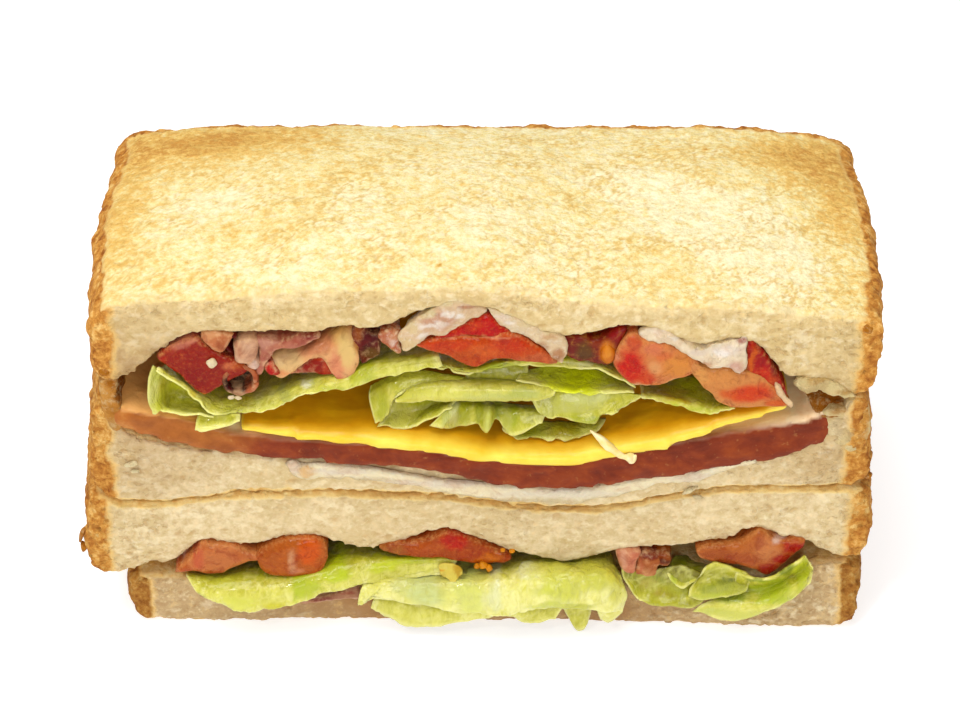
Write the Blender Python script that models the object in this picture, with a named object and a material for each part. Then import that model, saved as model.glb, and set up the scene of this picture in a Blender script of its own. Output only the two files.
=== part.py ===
"""A toasted BLT sandwich made of square loaf slices, cut across the middle and stacked in two halves.

The cut faces look along -Y, the uncut back crust lies at +Y, and the stack rests on z = 0. The helper
functions work in millimetres. Every layer is a cube primitive cut into cells, whose corners are then
placed by that layer's own function, so that neighbours follow the same surfaces with a thin gap.
"""

import math

import bmesh
import bpy
from mathutils import Matrix, Vector

MM = 0.001

# Driving dimensions, in millimetres
DEPTH = 56.0  # from the cut faces to the back crust
CUT = -DEPTH / 2
BACK = DEPTH / 2
GAP = 0.35  # between neighbouring layers
SAUCE_GAP = 0.55  # between bread and the wet slices of tomato
TOP_BACK = 56.3  # heights at the back crust: the top, and the lines where slices meet
UPPER_SEAM = 41.0
MIDDLE_SEAM = 25.0
LOWER_SEAM = 12.2
CORNER_RADIUS = 6.0  # of a slice's two back corners, seen from above
SIDE_BULGE = 1.4
CRUST_WIDTH = 0.04  # the part of a slice's width, at each side, that is its crust
CRUST_BULGE = 0.9
CRUST_ROUNDING = 1.1  # how far a face falls away at its crust
ROUNDING_REACH = 3.0
CHEESE = 1.7  # thickness of the cheese slice
BACON = 1.3  # thickness of a strip of bacon
NARROWING = 0.6  # how much a filling's squared width shrinks from its front edge to its back end
LIP = CUT - 0.6  # y from which the lower leaves hang down in front of the bottom slice
HUNG = 0.4  # the part of a hanging leaf's rows that lies in front of the lip

# Colour (linear) and roughness of each material
MATERIALS = {
    "bread": ((0.80, 0.58, 0.27), 0.9),
    "ham": ((0.42, 0.16, 0.06), 0.45),
    "cheese": ((0.90, 0.55, 0.05), 0.35),
    "lettuce": ((0.48, 0.50, 0.08), 0.35),
    "tomato": ((0.58, 0.10, 0.03), 0.2),
    "bacon": ((0.55, 0.20, 0.10), 0.4),
}


# ---- Small helpers


def mix(first, second, amount):
    return first + (second - first) * amount


def clamp(value):
    return max(0.0, min(1.0, value))


def curve(*points):
    """A smooth line through points (x, value) that never overshoots them, level beyond its ends."""
    last = len(points) - 1

    def steepness(index):
        (x0, z0), (x1, z1) = points[index], points[index + 1]
        return (z1 - z0) / (x1 - x0)

    def slope(index):
        before, after = steepness(max(index - 1, 0)), steepness(min(index, last - 1))
        if before * after <= 0.0:
            return 0.0
        return 2.0 * before * after / (before + after)

    def value(x):
        if x <= points[0][0]:
            return points[0][1]
        if x >= points[last][0]:
            return points[last][1]
        index = max(i for i in range(last) if points[i][0] <= x)
        (x0, z0), (x1, z1) = points[index], points[index + 1]
        span = x1 - x0
        t = (x - x0) / span
        from_start = z0 + slope(index) * span * t
        from_end = z1 - slope(index + 1) * span * (1.0 - t)
        return mix(from_start, from_end, t * t * (3.0 - 2.0 * t))

    return value


def closing(y):
    """0 at the cut face, 1 at the back crust, where the slices are pressed together."""
    return clamp((y - CUT) / DEPTH) ** 2.5


def layer(front, seam):
    """A surface that follows the front line at the cut and comes to the seam's height at the back."""
    return lambda x, y: mix(front(x), seam, closing(y))


def raised(surface, amount):
    return lambda x, y: surface(x, y) + amount


def lowest(*surfaces):
    return lambda x, y: min(surface(x, y) for surface in surfaces)


def highest(*surfaces):
    return lambda x, y: max(surface(x, y) for surface in surfaces)


def cells(count, rim=0.0):
    """Fractions from 0 to 1 in equal steps, with two narrow steps of the rim's width at both ends."""
    inner = [mix(2 * rim, 1.0 - 2 * rim, i / count) for i in range(count + 1)]
    if rim == 0.0:
        return inner
    return [0.0, rim, *inner, 1.0 - rim, 1.0]


def gridded_box(name, columns, rows, levels, place):
    """A unit cube cut at the given fractions, its corners moved by place(u, v, w)."""
    mesh = bmesh.new()
    bmesh.ops.create_cube(mesh, size=1.0, matrix=Matrix.Translation((0.5, 0.5, 0.5)))
    for axis, fractions in enumerate((columns, rows, levels)):
        normal = Vector((0.0, 0.0, 0.0))
        normal[axis] = 1.0
        for fraction in fractions[1:-1]:
            bmesh.ops.bisect_plane(
                mesh,
                geom=mesh.verts[:] + mesh.edges[:] + mesh.faces[:],
                dist=1e-6,
                plane_co=normal * fraction,
                plane_no=normal,
            )
    for vert in mesh.verts:
        vert.co = Vector(place(*vert.co)) * MM
    centre = sum((vert.co for vert in mesh.verts), Vector()) / len(mesh.verts)
    bmesh.ops.translate(mesh, verts=mesh.verts, vec=-centre)
    data = bpy.data.meshes.new(name)
    mesh.to_mesh(data)
    mesh.free()
    obj = bpy.data.objects.new(name, data)
    obj.location = centre
    return obj


# ---- Bread: four half slices. Each surface has a line along the cut, from the left to the right crust.

top_line = curve((-57, 60.4), (-53, 62.6), (-37, 63.8), (-20, 65.4), (0, 65.1), (17, 62.9), (38, 61.9),
                 (48, 60.6), (58, 60.3))
top_back_line = curve((-56, TOP_BACK - 2.2), (-50, TOP_BACK - 0.6), (-40, TOP_BACK), (36, TOP_BACK),
                      (48, TOP_BACK - 0.6), (56, TOP_BACK - 2.2))


def top_face(x, y):
    return mix(top_line(x), top_back_line(x), closing(y))


upper_roof = layer(
    curve((-56, 48.8), (-50.5, 50.6), (-46, 55), (-39, 57.6), (-23, 57.5), (-18, 58.9), (-14.5, 57.6),
          (-10, 60.6), (-2, 62.4), (4, 60.6), (8, 57.7), (13.5, 56.3), (21, 58.8), (27, 57.4),
          (32, 54.9), (38.5, 56.7), (42, 52.6), (45, 49.3), (51, 48.7), (54, 46.6), (57, 45.9)),
    UPPER_SEAM + GAP,
)
upper_floor = layer(
    curve((-56, 48.4), (-53.8, 38.9), (-51, 37.6), (-43, 35.7), (-30, 34), (-12, 33), (0, 30.4),
          (12, 29.3), (24, 30.7), (36, 32.8), (48, 36.8), (52.4, 38.2), (54.5, 44.6), (57, 45.5)),
    UPPER_SEAM,
)
middle = layer(
    curve((-59, 27), (-52.5, 24.2), (-43, 25.1), (-34, 26.5), (-10, 26), (5, 23.9), (16, 23.3),
          (27, 25.2), (42, 27.5), (58.8, 27.4)),
    MIDDLE_SEAM,
)
lower_roof = layer(
    curve((-60, 9.8), (-55, 10.2), (-51.5, 12.3), (-48, 11.4), (-43, 17.4), (-36.5, 15.6), (-27, 18),
          (-17, 15), (-10, 17.5), (-4.5, 19.3), (1, 15.9), (7, 14), (14, 12.2), (20, 14.4), (31, 15.9),
          (37.5, 17), (42.5, 19.9), (46, 17.9), (50, 16.8), (53.5, 13.8), (59, 12.8)),
    LOWER_SEAM + GAP,
)
lower_floor = layer(
    curve((-55, 9.4), (-50, 9.6), (-42, 8.2), (-20, 7.6), (0, 7.6), (20, 8.2), (40, 9.4), (48, 11),
          (54, 12.4), (59, 12.3)),
    LOWER_SEAM,
)


def base(x, y):
    return 0.0


def crust_edge(distance):
    """How much a face has fallen away at this distance from the crust's outside."""
    return CRUST_ROUNDING * (1.0 - clamp(distance / ROUNDING_REACH)) ** 2


def bread_slice(name, lefts, rights, under, over, columns):
    """A half slice between two faces. lefts and rights are x at the lower, middle and upper level."""

    def place(u, v, w):
        level = round(2 * w)
        y = CUT + DEPTH * v
        past_corner = max(0.0, y - (BACK - CORNER_RADIUS))
        corner = 0.6 * (CORNER_RADIUS - math.sqrt(CORNER_RADIUS**2 - past_corner**2))
        left = lefts[level] + corner
        right = rights[level] - corner
        x = mix(left, right, u)
        distance = min(x - left, right - x, BACK - y)
        side = clamp(1.0 - u / CRUST_WIDTH) - clamp(1.0 - (1.0 - u) / CRUST_WIDTH)
        low = under(x, y) + crust_edge(distance)
        high = over(x, y) - crust_edge(distance)
        if level == 1:
            y += CRUST_BULGE * clamp((v - 0.9) / 0.1)
        return x - side * SIDE_BULGE * math.sin(math.pi * v), y, mix(low, high, w)

    rows = [0.0, 0.1, 0.25, 0.42, 0.6, 0.78, 0.9, 0.955, 1.0]
    return gridded_box(name, cells(columns, CRUST_WIDTH / 2), rows, [0.0, 0.5, 1.0], place)


def make_bread():
    yield bread_slice(
        "bread_upper_top", (-56.0, -56.9, -56.8), (57.0, 58.6, 58.2), upper_roof, top_face, 26
    )
    yield bread_slice(
        "bread_upper_bottom", (-58.8, -57.9, -56.0), (58.6, 58.2, 56.8), raised(middle, GAP),
        upper_floor, 26,
    )
    yield bread_slice(
        "bread_lower_top", (-59.8, -60.4, -59.2), (58.9, 59.8, 59.0), lower_roof, middle, 26
    )
    yield bread_slice(
        "bread_lower_bottom", (-53.8, -54.8, -54.6), (57.7, 59.0, 58.8), base, lower_floor, 15
    )


# ---- Fillings: each lies between two surfaces and has ends, a front edge along x, and a depth.


def straight(y):
    return lambda x: y


def filling(name, ends, front, depth, under, over, columns, rows=4, narrowing=NARROWING):
    """A layer whose plan narrows toward its back. The front edge is a function of x."""
    left, right = ends
    centre = (left + right) / 2

    def place(u, v, w):
        across = mix(left, right, u) - centre
        x = centre + across * math.sqrt(1.0 - narrowing * v * v)
        y = mix(front(centre + across), CUT + depth, v)
        return x, y, mix(under(x, y), over(x, y), w)

    return gridded_box(name, cells(columns), cells(rows), [0.0, 1.0], place)


# ---- Ham and cheese: a thick slab across the whole half, and a thin slice on it.

ham_top = layer(
    curve((-53, 44.2), (-48, 42.6), (-43, 41.3), (-34, 38.9), (-12, 37.9), (3, 35.3), (11, 34.9),
          (19, 36.3), (33, 39.4), (47, 42.8), (52, 43.8)),
    UPPER_SEAM + 0.1,
)
cheese_top = raised(ham_top, GAP + CHEESE)
ham_front = curve((-53, -28), (-36, -28.6), (-10, -30), (18, -30.2), (38, -28.8), (52, -27.6))
CHEESE_ENDS = (-35.5, 45.7)


def cheese_front(x):
    return ham_front(x) + 0.3


def upper_bed(x, y):
    """The surface that the lettuce of the upper half lies on: cheese, or ham beside it."""
    left, right = CHEESE_ENDS
    if left - 1.5 < x < right + 1.5:
        return cheese_top(x, y) + GAP
    return ham_top(x, y) + GAP


def make_ham():
    yield filling(
        "ham_slab", (-52.8, 51.8), ham_front, 48.0, raised(upper_floor, GAP), ham_top, 22, 5, 0.05
    )


def make_cheese():
    yield filling(
        "cheese_slice", CHEESE_ENDS, cheese_front, 44.0, raised(ham_top, GAP), cheese_top, 18, 5, 0.05
    )


# ---- Lettuce of the upper half: crumpled leaves, each a thick wavy sheet.

leaf_left_top = layer(
    curve((-50, 48.6), (-48, 50), (-45.5, 48.8), (-40.3, 45.4), (-36, 44.4), (-31, 45.4), (-27, 48),
          (-22, 48.4), (-16, 50.8), (-12, 54), (-8, 52.6), (-5, 51.4)),
    UPPER_SEAM,
)
leaf_left_under = layer(
    curve((-50, 43.6), (-41, 42.8), (-36, 42), (-27, 44.2), (-20, 45), (-12, 49.6), (-8, 50.5), (-5, 50.6)),
    UPPER_SEAM,
)
leaf_fold_top = layer(
    curve((-16, 46.6), (-12, 48.6), (-8, 49.9), (-4.5, 50.1), (-1, 50.8), (6, 51.8), (12, 52.1),
          (17, 51.3), (20, 50), (22, 48.2), (24, 47.4)),
    UPPER_SEAM,
)
leaf_fold_under = layer(
    curve((-16, 44.2), (-9, 44.6), (-3, 45.2), (5, 44.4), (12, 45), (18, 46), (24, 46.4)),
    UPPER_SEAM,
)
leaf_right_top = layer(
    curve((24.6, 47.6), (28, 47.6), (31, 48.4), (34, 45.9), (37, 44)), UPPER_SEAM
)
leaf_right_under = layer(curve((24.6, 45), (28, 43.6), (32, 42.9), (38, 43)), UPPER_SEAM)


def frilled(front, depth, length):
    """A front line with waves of this depth and length, for the frilled edge of a leaf."""
    return lambda x: front + depth * math.sin(2 * math.pi * x / length)


def make_upper_lettuce():
    thinnest = raised(upper_bed, 0.6)
    yield filling(
        "lettuce_upper_left", (-50.0, -5.0),
        curve((-50, -28.5), (-44, -29.5), (-36, -29.3), (-25, -28.3), (-5, -27.5)), 40.0,
        highest(leaf_left_under, upper_bed), highest(leaf_left_top, thinnest), 18,
    )
    yield filling(
        "lettuce_upper_fold", (-16.5, 23.8), frilled(-27.2, 0.6, 14), 42.0,
        highest(leaf_fold_under, raised(upper_bed, 1.0)),
        highest(leaf_fold_top, raised(upper_bed, 1.8)), 14,
    )
    yield filling(
        "lettuce_upper_frill", (-14.5, 22.5), frilled(-25.3, 1.2, 5.3), 40.0,
        upper_bed, highest(raised(leaf_fold_under, -GAP), thinnest), 21, 3,
    )
    yield filling(
        "lettuce_upper_right", (24.6, 37.0), frilled(-27.6, 0.3, 9), 36.0,
        highest(leaf_right_under, upper_bed), highest(leaf_right_top, thinnest), 7,
    )


# ---- Tomato: cut slices whose cut face shows at the front.


def tomato_slice(name, front, depth, under, over, roof, seam):
    """A slice between two lines of points along the cut, kept clear of the bread above it."""
    ends = (over[0][0], over[-1][0])
    bottom = layer(curve(*under), seam)
    top = lowest(layer(curve(*over), seam + 0.4), raised(roof, -SAUCE_GAP))
    columns = max(6, round((ends[1] - ends[0]) / 2.4))
    return filling(
        name, ends, straight(front), depth, bottom, highest(top, raised(bottom, 0.4)), columns, 3
    )


def make_upper_tomato():
    roof, seam = upper_roof, UPPER_SEAM + 0.2
    yield tomato_slice(
        "tomato_upper_1", -28.6, 22.0,
        [(-46, 53), (-44, 50.6), (-40.3, 46.6), (-37, 48.6), (-33.4, 50.4)],
        [(-46, 53.8), (-44, 56), (-41, 56.9), (-37, 54), (-33.4, 51)],
        roof, seam,
    )
    yield tomato_slice(
        "tomato_upper_2", -28.4, 26.0,
        [(-11, 55.2), (-7, 53.6), (-3, 52.3), (1, 52), (6, 52.6), (12, 53)],
        [(-11, 55.9), (-7, 58.6), (-2, 61.2), (0, 61.6), (4, 59.6), (9, 56.7), (12, 54.9)],
        roof, seam,
    )
    yield tomato_slice(
        "tomato_upper_core", -26.6, 14.0,
        [(12.8, 53), (15, 52.4), (18.8, 52)],
        [(12.8, 54.6), (15, 55.2), (17, 56.2), (18.8, 56.4)],
        roof, seam,
    )
    yield tomato_slice(
        "tomato_upper_3", -28.4, 24.0,
        [(19.4, 51.4), (22, 49), (26, 48.4), (30, 49), (31, 50)],
        [(19.4, 55.9), (21, 57.6), (23, 57.7), (27, 56), (31, 53.2)],
        roof, seam,
    )
    yield tomato_slice(
        "tomato_upper_4", -28.4, 24.0,
        [(31.5, 51), (34, 47), (37, 44.9), (41, 45.8), (45, 46.9)],
        [(31.5, 52.3), (34, 53), (37, 54.9), (38.6, 54.8), (41, 51.6), (45, 47.4)],
        roof, seam,
    )


# ---- Bacon: a strip folded on itself. Its path is seen at the cut, and it runs back into the sandwich.


def bacon_strip(name, path, front, depth, pressing, thickness=BACON):
    """A strip along a path of points (x, z) in the cut face, pressed flatter at its back end."""
    columns = 2 * (len(path) - 1)
    steps = list(enumerate(path))
    along_x = curve(*[(step, point[0]) for step, point in steps])
    along_z = curve(*[(step, point[1]) for step, point in steps])
    last = len(path) - 1
    middle_height = sum(point[1] for point in path) / len(path)

    def place(u, v, w):
        step = u * last
        before, after = max(step - 0.1, 0.0), min(step + 0.1, last)
        across = Vector((along_z(before) - along_z(after), along_x(after) - along_x(before))).normalized()
        x = along_x(step) + across.x * (w - 0.5) * thickness
        z = along_z(step) + across.y * (w - 0.5) * thickness
        return x, front + depth * v, mix(z, middle_height, pressing * v)

    return gridded_box(name, cells(columns), cells(2), [0.0, 1.0], place)


def make_upper_bacon():
    yield bacon_strip(
        "bacon_upper_hook",
        [(-36.4, 55.8), (-33.6, 55.6), (-32.9, 53.4), (-31.3, 51.6), (-31.2, 48.8), (-33, 46.8),
         (-36, 46.2)],
        -27.6, 16.0, 0.2,
    )
    yield bacon_strip(
        "bacon_upper_wave",
        [(-29.9, 52.6), (-28.4, 50.6), (-26.2, 51.4), (-24, 53.2), (-21.8, 53), (-20.4, 50.8),
         (-18.6, 51), (-17.8, 53.6), (-19.2, 56), (-22.6, 55.8), (-26, 56), (-30, 55.6)],
        -28.2, 18.0, 0.25,
    )
    yield bacon_strip(
        "bacon_upper_end", [(-16.2, 53.2), (-15.4, 55), (-15.8, 57)], -25.5, 14.0, 0.4, 1.8
    )


# ---- Lower half: tomato above lettuce, with a roll of bacon and a strip of ham at the cut.


def make_lower_tomato():
    roof, seam = lower_roof, LOWER_SEAM + 0.2
    yield tomato_slice(
        "tomato_lower_1", -28.9, 20.0,
        [(-46.6, 10.9), (-45, 10.8), (-41, 10.8), (-37, 13), (-35.7, 13.6)],
        [(-46.6, 11.6), (-45, 13.4), (-42.4, 16.6), (-40, 16.1), (-35.7, 14.8)],
        roof, seam,
    )
    yield tomato_slice(
        "tomato_lower_2", -29.2, 20.0,
        [(-34.7, 13.7), (-33, 11.9), (-29, 10.4), (-25, 10.9), (-22.6, 13.2)],
        [(-34.7, 15), (-31, 17), (-26, 17.9), (-24, 16.6), (-22.6, 14.6)],
        roof, seam,
    )
    yield tomato_slice(
        "tomato_lower_3", -29.0, 24.0,
        [(-16, 14), (-12, 13.9), (-6, 12.7), (-3, 13), (2, 13.2), (5, 13.4)],
        [(-16, 14.6), (-12, 16.4), (-5, 18.6), (-3, 18.2), (0, 15.8), (5, 13.9)],
        roof, seam,
    )
    yield tomato_slice(
        "tomato_lower_4", -29.0, 22.0,
        [(32.2, 14.4), (36, 12.9), (40, 12.1), (44, 11.6), (46, 12.6), (49.4, 15.2)],
        [(32.2, 15), (37, 16.2), (41.5, 18.8), (43, 18.9), (45, 17.4), (49.4, 15.8)],
        roof, seam,
    )


lower_leaf_top = layer(
    curve((-47, 10.4), (-41, 10.2), (-36, 12.4), (-33, 11.2), (-29, 9.9), (-25, 10.3), (-20, 12.6),
          (-15, 13.3), (-11, 13), (-6, 12), (2, 12.6), (7, 12.6), (14, 11.2), (18, 11.6), (22, 10.2),
          (25, 9.4), (28, 9.2), (32, 11.4), (36, 12.2), (40, 11.5), (44, 10.9), (47, 12), (50, 12.6)),
    LOWER_SEAM,
)
lower_bed = raised(lower_floor, GAP)


def drooping(surface, rim, front):
    """A surface that stays as it is inside the sandwich and sinks to the rim's height at the front."""

    def height(x, y):
        if y >= LIP:
            return surface(x, y)
        out = clamp((LIP - y) / (LIP - front(x)))
        return mix(surface(x, LIP), rim(x), out**1.4)

    return height


def hanging_leaf(name, ends, front, depth, under, over, rim, thickness, columns):
    """A leaf that hangs over the cut face of the bottom slice, thinner at its rim."""
    left, right = ends
    centre = (left + right) / 2
    low = drooping(under, rim, front)
    high = drooping(over, lambda x: rim(x) + thickness, front)

    def place(u, v, w):
        across = mix(left, right, u) - centre
        x = centre + across * math.sqrt(1.0 - NARROWING * v * v)
        inside = clamp((v - HUNG) / (1.0 - HUNG))
        y = mix(front(centre + across), LIP, clamp(v / HUNG)) + depth * inside
        return x, y, mix(low(x, y), high(x, y), w)

    rows = [0.0, HUNG / 3, 2 * HUNG / 3, HUNG, 0.6, 0.8, 1.0]
    return gridded_box(name, cells(columns), rows, [0.0, 1.0], place)


def make_lower_lettuce():
    yield hanging_leaf(
        "lettuce_lower_left", (-47.0, -13.0),
        curve((-47, -29.6), (-41, -31.6), (-33, -32.6), (-22, -31.6), (-13, -30.2)), 34.0,
        highest(lower_bed, layer(curve((-30, 8), (-26, 9.3), (-20, 9.9), (-13, 10.6)), LOWER_SEAM)),
        lower_leaf_top,
        curve((-47, 10), (-43, 8.2), (-38, 6.8), (-30, 7.6), (-22, 8.9), (-13, 11)), 0.8, 12,
    )
    yield hanging_leaf(
        "lettuce_lower_rib", (-19.0, 22.6),
        curve((-19, -30.6), (-14, -32.4), (0, -33.4), (12, -33.2), (19, -32.6), (22.6, -30.6)), 34.0,
        lower_bed,
        lowest(
            lower_leaf_top,
            layer(curve((-19, 8.9), (-13, 9.7), (-11.5, 10.4), (-10, 14)), LOWER_SEAM),
        ),
        curve((-19, 6.6), (-15, 5), (-8, 3.6), (0, 4.6), (8, 5), (14, 3.8), (19, 5.4), (22.6, 8)), 1.4, 16,
    )
    yield hanging_leaf(
        "lettuce_lower_right", (23.6, 51.0),
        curve((23.6, -29.8), (27, -31.4), (34, -32.2), (42, -32.2), (47, -31.2), (51, -29.6)), 32.0,
        lower_bed, lower_leaf_top,
        curve((23.6, 8.6), (27, 6.6), (31, 6), (35, 5.4), (41, 4.6), (46, 6), (51, 10)), 0.9, 11,
    )


def make_lower_meat():
    yield bacon_strip(
        "bacon_lower_roll",
        [(21.7, 11.6), (21.6, 13.2), (23.2, 13.9), (24.6, 13), (25, 11.2), (27, 10.6), (28.6, 11.8),
         (28.4, 13.6), (26.8, 13.9)],
        -28.6, 14.0, 0.2, 1.0,
    )
    yield hanging_leaf(
        "ham_lower_strip", (-26.0, -19.7), straight(-29.7), 12.0, lower_bed,
        raised(lower_bed, 0.7), curve((-26, 5), (-22, 4.3), (-19.7, 4.9)), 0.8, 3,
    )


# ---- Assembly

MAKERS = (
    (make_bread, "bread"),
    (make_ham, "ham"),
    (make_cheese, "cheese"),
    (make_upper_lettuce, "lettuce"),
    (make_upper_tomato, "tomato"),
    (make_upper_bacon, "bacon"),
    (make_lower_tomato, "tomato"),
    (make_lower_lettuce, "lettuce"),
    (make_lower_meat, "bacon"),
)


def make_material(name):
    colour, roughness = MATERIALS[name]
    material = bpy.data.materials.new(name)
    material.use_nodes = True
    shader = material.node_tree.nodes["Principled BSDF"]
    shader.inputs["Base Color"].default_value = (*colour, 1.0)
    shader.inputs["Roughness"].default_value = roughness
    shader.inputs["Metallic"].default_value = 0.0
    return material


def stand_on_floor(parts, root):
    """Moves the root so that the centre of the parts' box is over the origin and its bottom on the floor."""
    corners = [obj.location + vert.co for obj in parts.objects for vert in obj.data.vertices]
    lows = [min(corner[axis] for corner in corners) for axis in range(3)]
    highs = [max(corner[axis] for corner in corners) for axis in range(3)]
    root.location = (-(lows[0] + highs[0]) / 2, -(lows[1] + highs[1]) / 2, -lows[2])


def main():
    for obj in list(bpy.data.objects):
        bpy.data.objects.remove(obj, do_unlink=True)
    parts = bpy.data.collections.new("blt_sandwich")
    bpy.context.scene.collection.children.link(parts)
    root = bpy.data.objects.new("sandwich", None)
    bpy.context.scene.collection.objects.link(root)
    materials = {name: make_material(name) for name in MATERIALS}
    for make, material in MAKERS:
        for obj in make():
            obj.data.materials.append(materials[material])
            obj.data.shade_smooth()
            obj.data.set_sharp_from_angle(angle=math.radians(40))
            parts.objects.link(obj)
            obj.parent = root
    stand_on_floor(parts, root)


main()
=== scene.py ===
"""A toasted sandwich: the looks of four half slices of bread and their fillings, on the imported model."""

import itertools
import math
import random

import bmesh
import bpy
import numpy as np
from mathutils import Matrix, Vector


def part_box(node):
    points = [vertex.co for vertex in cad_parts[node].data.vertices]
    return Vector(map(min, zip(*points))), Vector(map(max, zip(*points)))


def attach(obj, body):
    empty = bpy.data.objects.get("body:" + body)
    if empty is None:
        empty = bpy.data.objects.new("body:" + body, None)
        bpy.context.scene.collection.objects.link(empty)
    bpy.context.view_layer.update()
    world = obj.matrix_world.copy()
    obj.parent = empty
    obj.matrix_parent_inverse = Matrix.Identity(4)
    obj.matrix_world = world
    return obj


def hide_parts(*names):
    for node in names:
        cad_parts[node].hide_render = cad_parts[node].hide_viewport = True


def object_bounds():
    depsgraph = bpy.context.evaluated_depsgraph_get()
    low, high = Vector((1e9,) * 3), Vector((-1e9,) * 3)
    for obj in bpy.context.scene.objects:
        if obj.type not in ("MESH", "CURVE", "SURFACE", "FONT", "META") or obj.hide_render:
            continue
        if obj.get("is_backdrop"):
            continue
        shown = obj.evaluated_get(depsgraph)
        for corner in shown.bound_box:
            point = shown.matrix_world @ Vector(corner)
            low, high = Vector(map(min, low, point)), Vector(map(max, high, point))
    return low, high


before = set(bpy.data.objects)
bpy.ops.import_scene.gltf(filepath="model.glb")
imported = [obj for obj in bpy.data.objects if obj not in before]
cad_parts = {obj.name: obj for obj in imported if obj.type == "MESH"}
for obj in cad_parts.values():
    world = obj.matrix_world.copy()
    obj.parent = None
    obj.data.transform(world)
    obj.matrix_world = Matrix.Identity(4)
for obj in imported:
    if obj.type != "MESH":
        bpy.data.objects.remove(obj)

cad_low, cad_high = (list(corner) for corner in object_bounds())
scene = bpy.context.scene
MM = 0.001


# ---- Floor and light
# The sandwich stands on a plain white studio sweep, lit evenly by one broad soft panel overhead, a wide
# panel in front that keeps the cut faces bright, a small lamp for the glints on what is wet, and pale
# light from all around.

FLOOR_HALF = 3.0
FLOOR_CORNERS = ((-1, -1), (1, -1), (1, 1), (-1, 1))
SWEEP_GLOW = 0.64
AIR_GLOW = 0.33

floor_mesh = bpy.data.meshes.new("studio_floor")
floor_mesh.from_pydata([(x * FLOOR_HALF, y * FLOOR_HALF, 0) for x, y in FLOOR_CORNERS], [], [(0, 1, 2, 3)])
studio_floor = bpy.data.objects.new("studio_floor", floor_mesh)
scene.collection.objects.link(studio_floor)


def add_node(tree, kind, inputs=None, **settings):
    """A shader node. Each input is a socket to link or a value to set."""
    made = tree.nodes.new("ShaderNode" + kind)
    for name, value in settings.items():
        setattr(made, name, value)
    for name, value in (inputs or {}).items():
        if isinstance(value, bpy.types.NodeSocket):
            tree.links.new(value, made.inputs[name])
        else:
            made.inputs[name].default_value = value
    return made


def new_material(name, **shader_values):
    """A material, its node tree and its shader, whose fixed values are given by socket name."""
    material = bpy.data.materials.new(name)
    material.use_nodes = True
    shader = material.node_tree.nodes["Principled BSDF"]
    for socket, value in shader_values.items():
        shader.inputs[socket.replace("_", " ")].default_value = value
    return material, material.node_tree, shader


white_sweep, sweep_tree, sweep_shader = new_material(
    "white_sweep", Roughness=0.9, Emission_Color=(1, 1, 1, 1), Emission_Strength=SWEEP_GLOW
)
sweep_grain = add_node(sweep_tree, "TexNoise", {"Scale": 60.0, "Detail": 3.0})
sweep_tone = add_node(
    sweep_tree,
    "MixRGB",
    {"Fac": sweep_grain.outputs["Fac"], "Color1": (0.58, 0.58, 0.58, 1), "Color2": (0.62, 0.62, 0.62, 1)},
)
sweep_tree.links.new(sweep_tone.outputs["Color"], sweep_shader.inputs["Base Color"])
studio_floor.data.materials.append(white_sweep)
studio_floor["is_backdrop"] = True

world = bpy.data.worlds.new("studio_air")
world.use_nodes = True
air = world.node_tree.nodes["Background"]
air.inputs["Color"].default_value = (1.0, 1.0, 1.0, 1.0)
air.inputs["Strength"].default_value = AIR_GLOW
scene.world = world
scene.view_settings.view_transform = "Standard"


stack_centre = Vector([(low + high) / 2 for low, high in zip(cad_low, cad_high)])


def soft_panel(name, offset, size, power):
    """A square light panel that stands offset from the middle of the sandwich and faces it."""
    lamp = bpy.data.lights.new(name, "AREA")
    lamp.size = size
    lamp.energy = power
    panel = bpy.data.objects.new(name, lamp)
    panel.location = stack_centre + Vector(offset)
    panel.rotation_euler = (stack_centre - panel.location).to_track_quat("-Z", "Y").to_euler()
    scene.collection.objects.link(panel)


soft_panel("overhead_panel", (-0.16, -0.08, 0.75), 0.45, 4.4)
soft_panel("front_panel", (0.10, -0.80, 0.40), 0.35, 2.5)
soft_panel("small_lamp", (-0.30, -0.42, 0.62), 0.07, 0.9)


# ---- Camera
# A long lens nearly half a metre away, which looks down on the cut faces from in front, 39 degrees above
# the table.

CAMERA_ELEVATION = math.radians(39.0)
CAMERA_DISTANCE = 0.471
SENSOR_WIDTH = 36.0
FOCAL_LENGTH = 112.1
AIM = Vector((0.0003, 0.00225, 0.0305))

way_back = Vector((0.0, -math.cos(CAMERA_ELEVATION), math.sin(CAMERA_ELEVATION)))
camera = bpy.data.objects.new("camera", bpy.data.cameras.new("camera"))
camera.data.sensor_width = SENSOR_WIDTH
camera.data.lens = FOCAL_LENGTH
camera.location = AIM + CAMERA_DISTANCE * way_back
camera.rotation_euler = (AIM - camera.location).to_track_quat("-Z", "Y").to_euler()
scene.collection.objects.link(camera)
scene.camera = camera


# ---- Bread
# Four half slices of a square white loaf, toasted on both faces and then cut across, so that the front
# shows open crumb and the other three sides keep their baked crust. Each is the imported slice, remeshed.


def copy_of(node, name):
    """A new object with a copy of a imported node's mesh, its doubled corners joined."""
    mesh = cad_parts[node].data.copy()
    mesh.materials.clear()
    piece = bpy.data.objects.new(name, mesh)
    scene.collection.objects.link(piece)
    work = bmesh.new()
    work.from_mesh(mesh)
    bmesh.ops.remove_doubles(work, verts=work.verts, dist=1e-6)
    work.to_mesh(mesh)
    work.free()
    return piece


def apply_modifier(piece, kind, **settings):
    """Adds a modifier and makes its result the mesh."""
    modifier = piece.modifiers.new(kind.lower(), kind)
    for name, value in settings.items():
        setattr(modifier, name, value)
    made = bpy.data.meshes.new_from_object(piece.evaluated_get(bpy.context.evaluated_depsgraph_get()))
    piece.modifiers.clear()
    old = piece.data
    piece.data = made
    bpy.data.meshes.remove(old)


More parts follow.
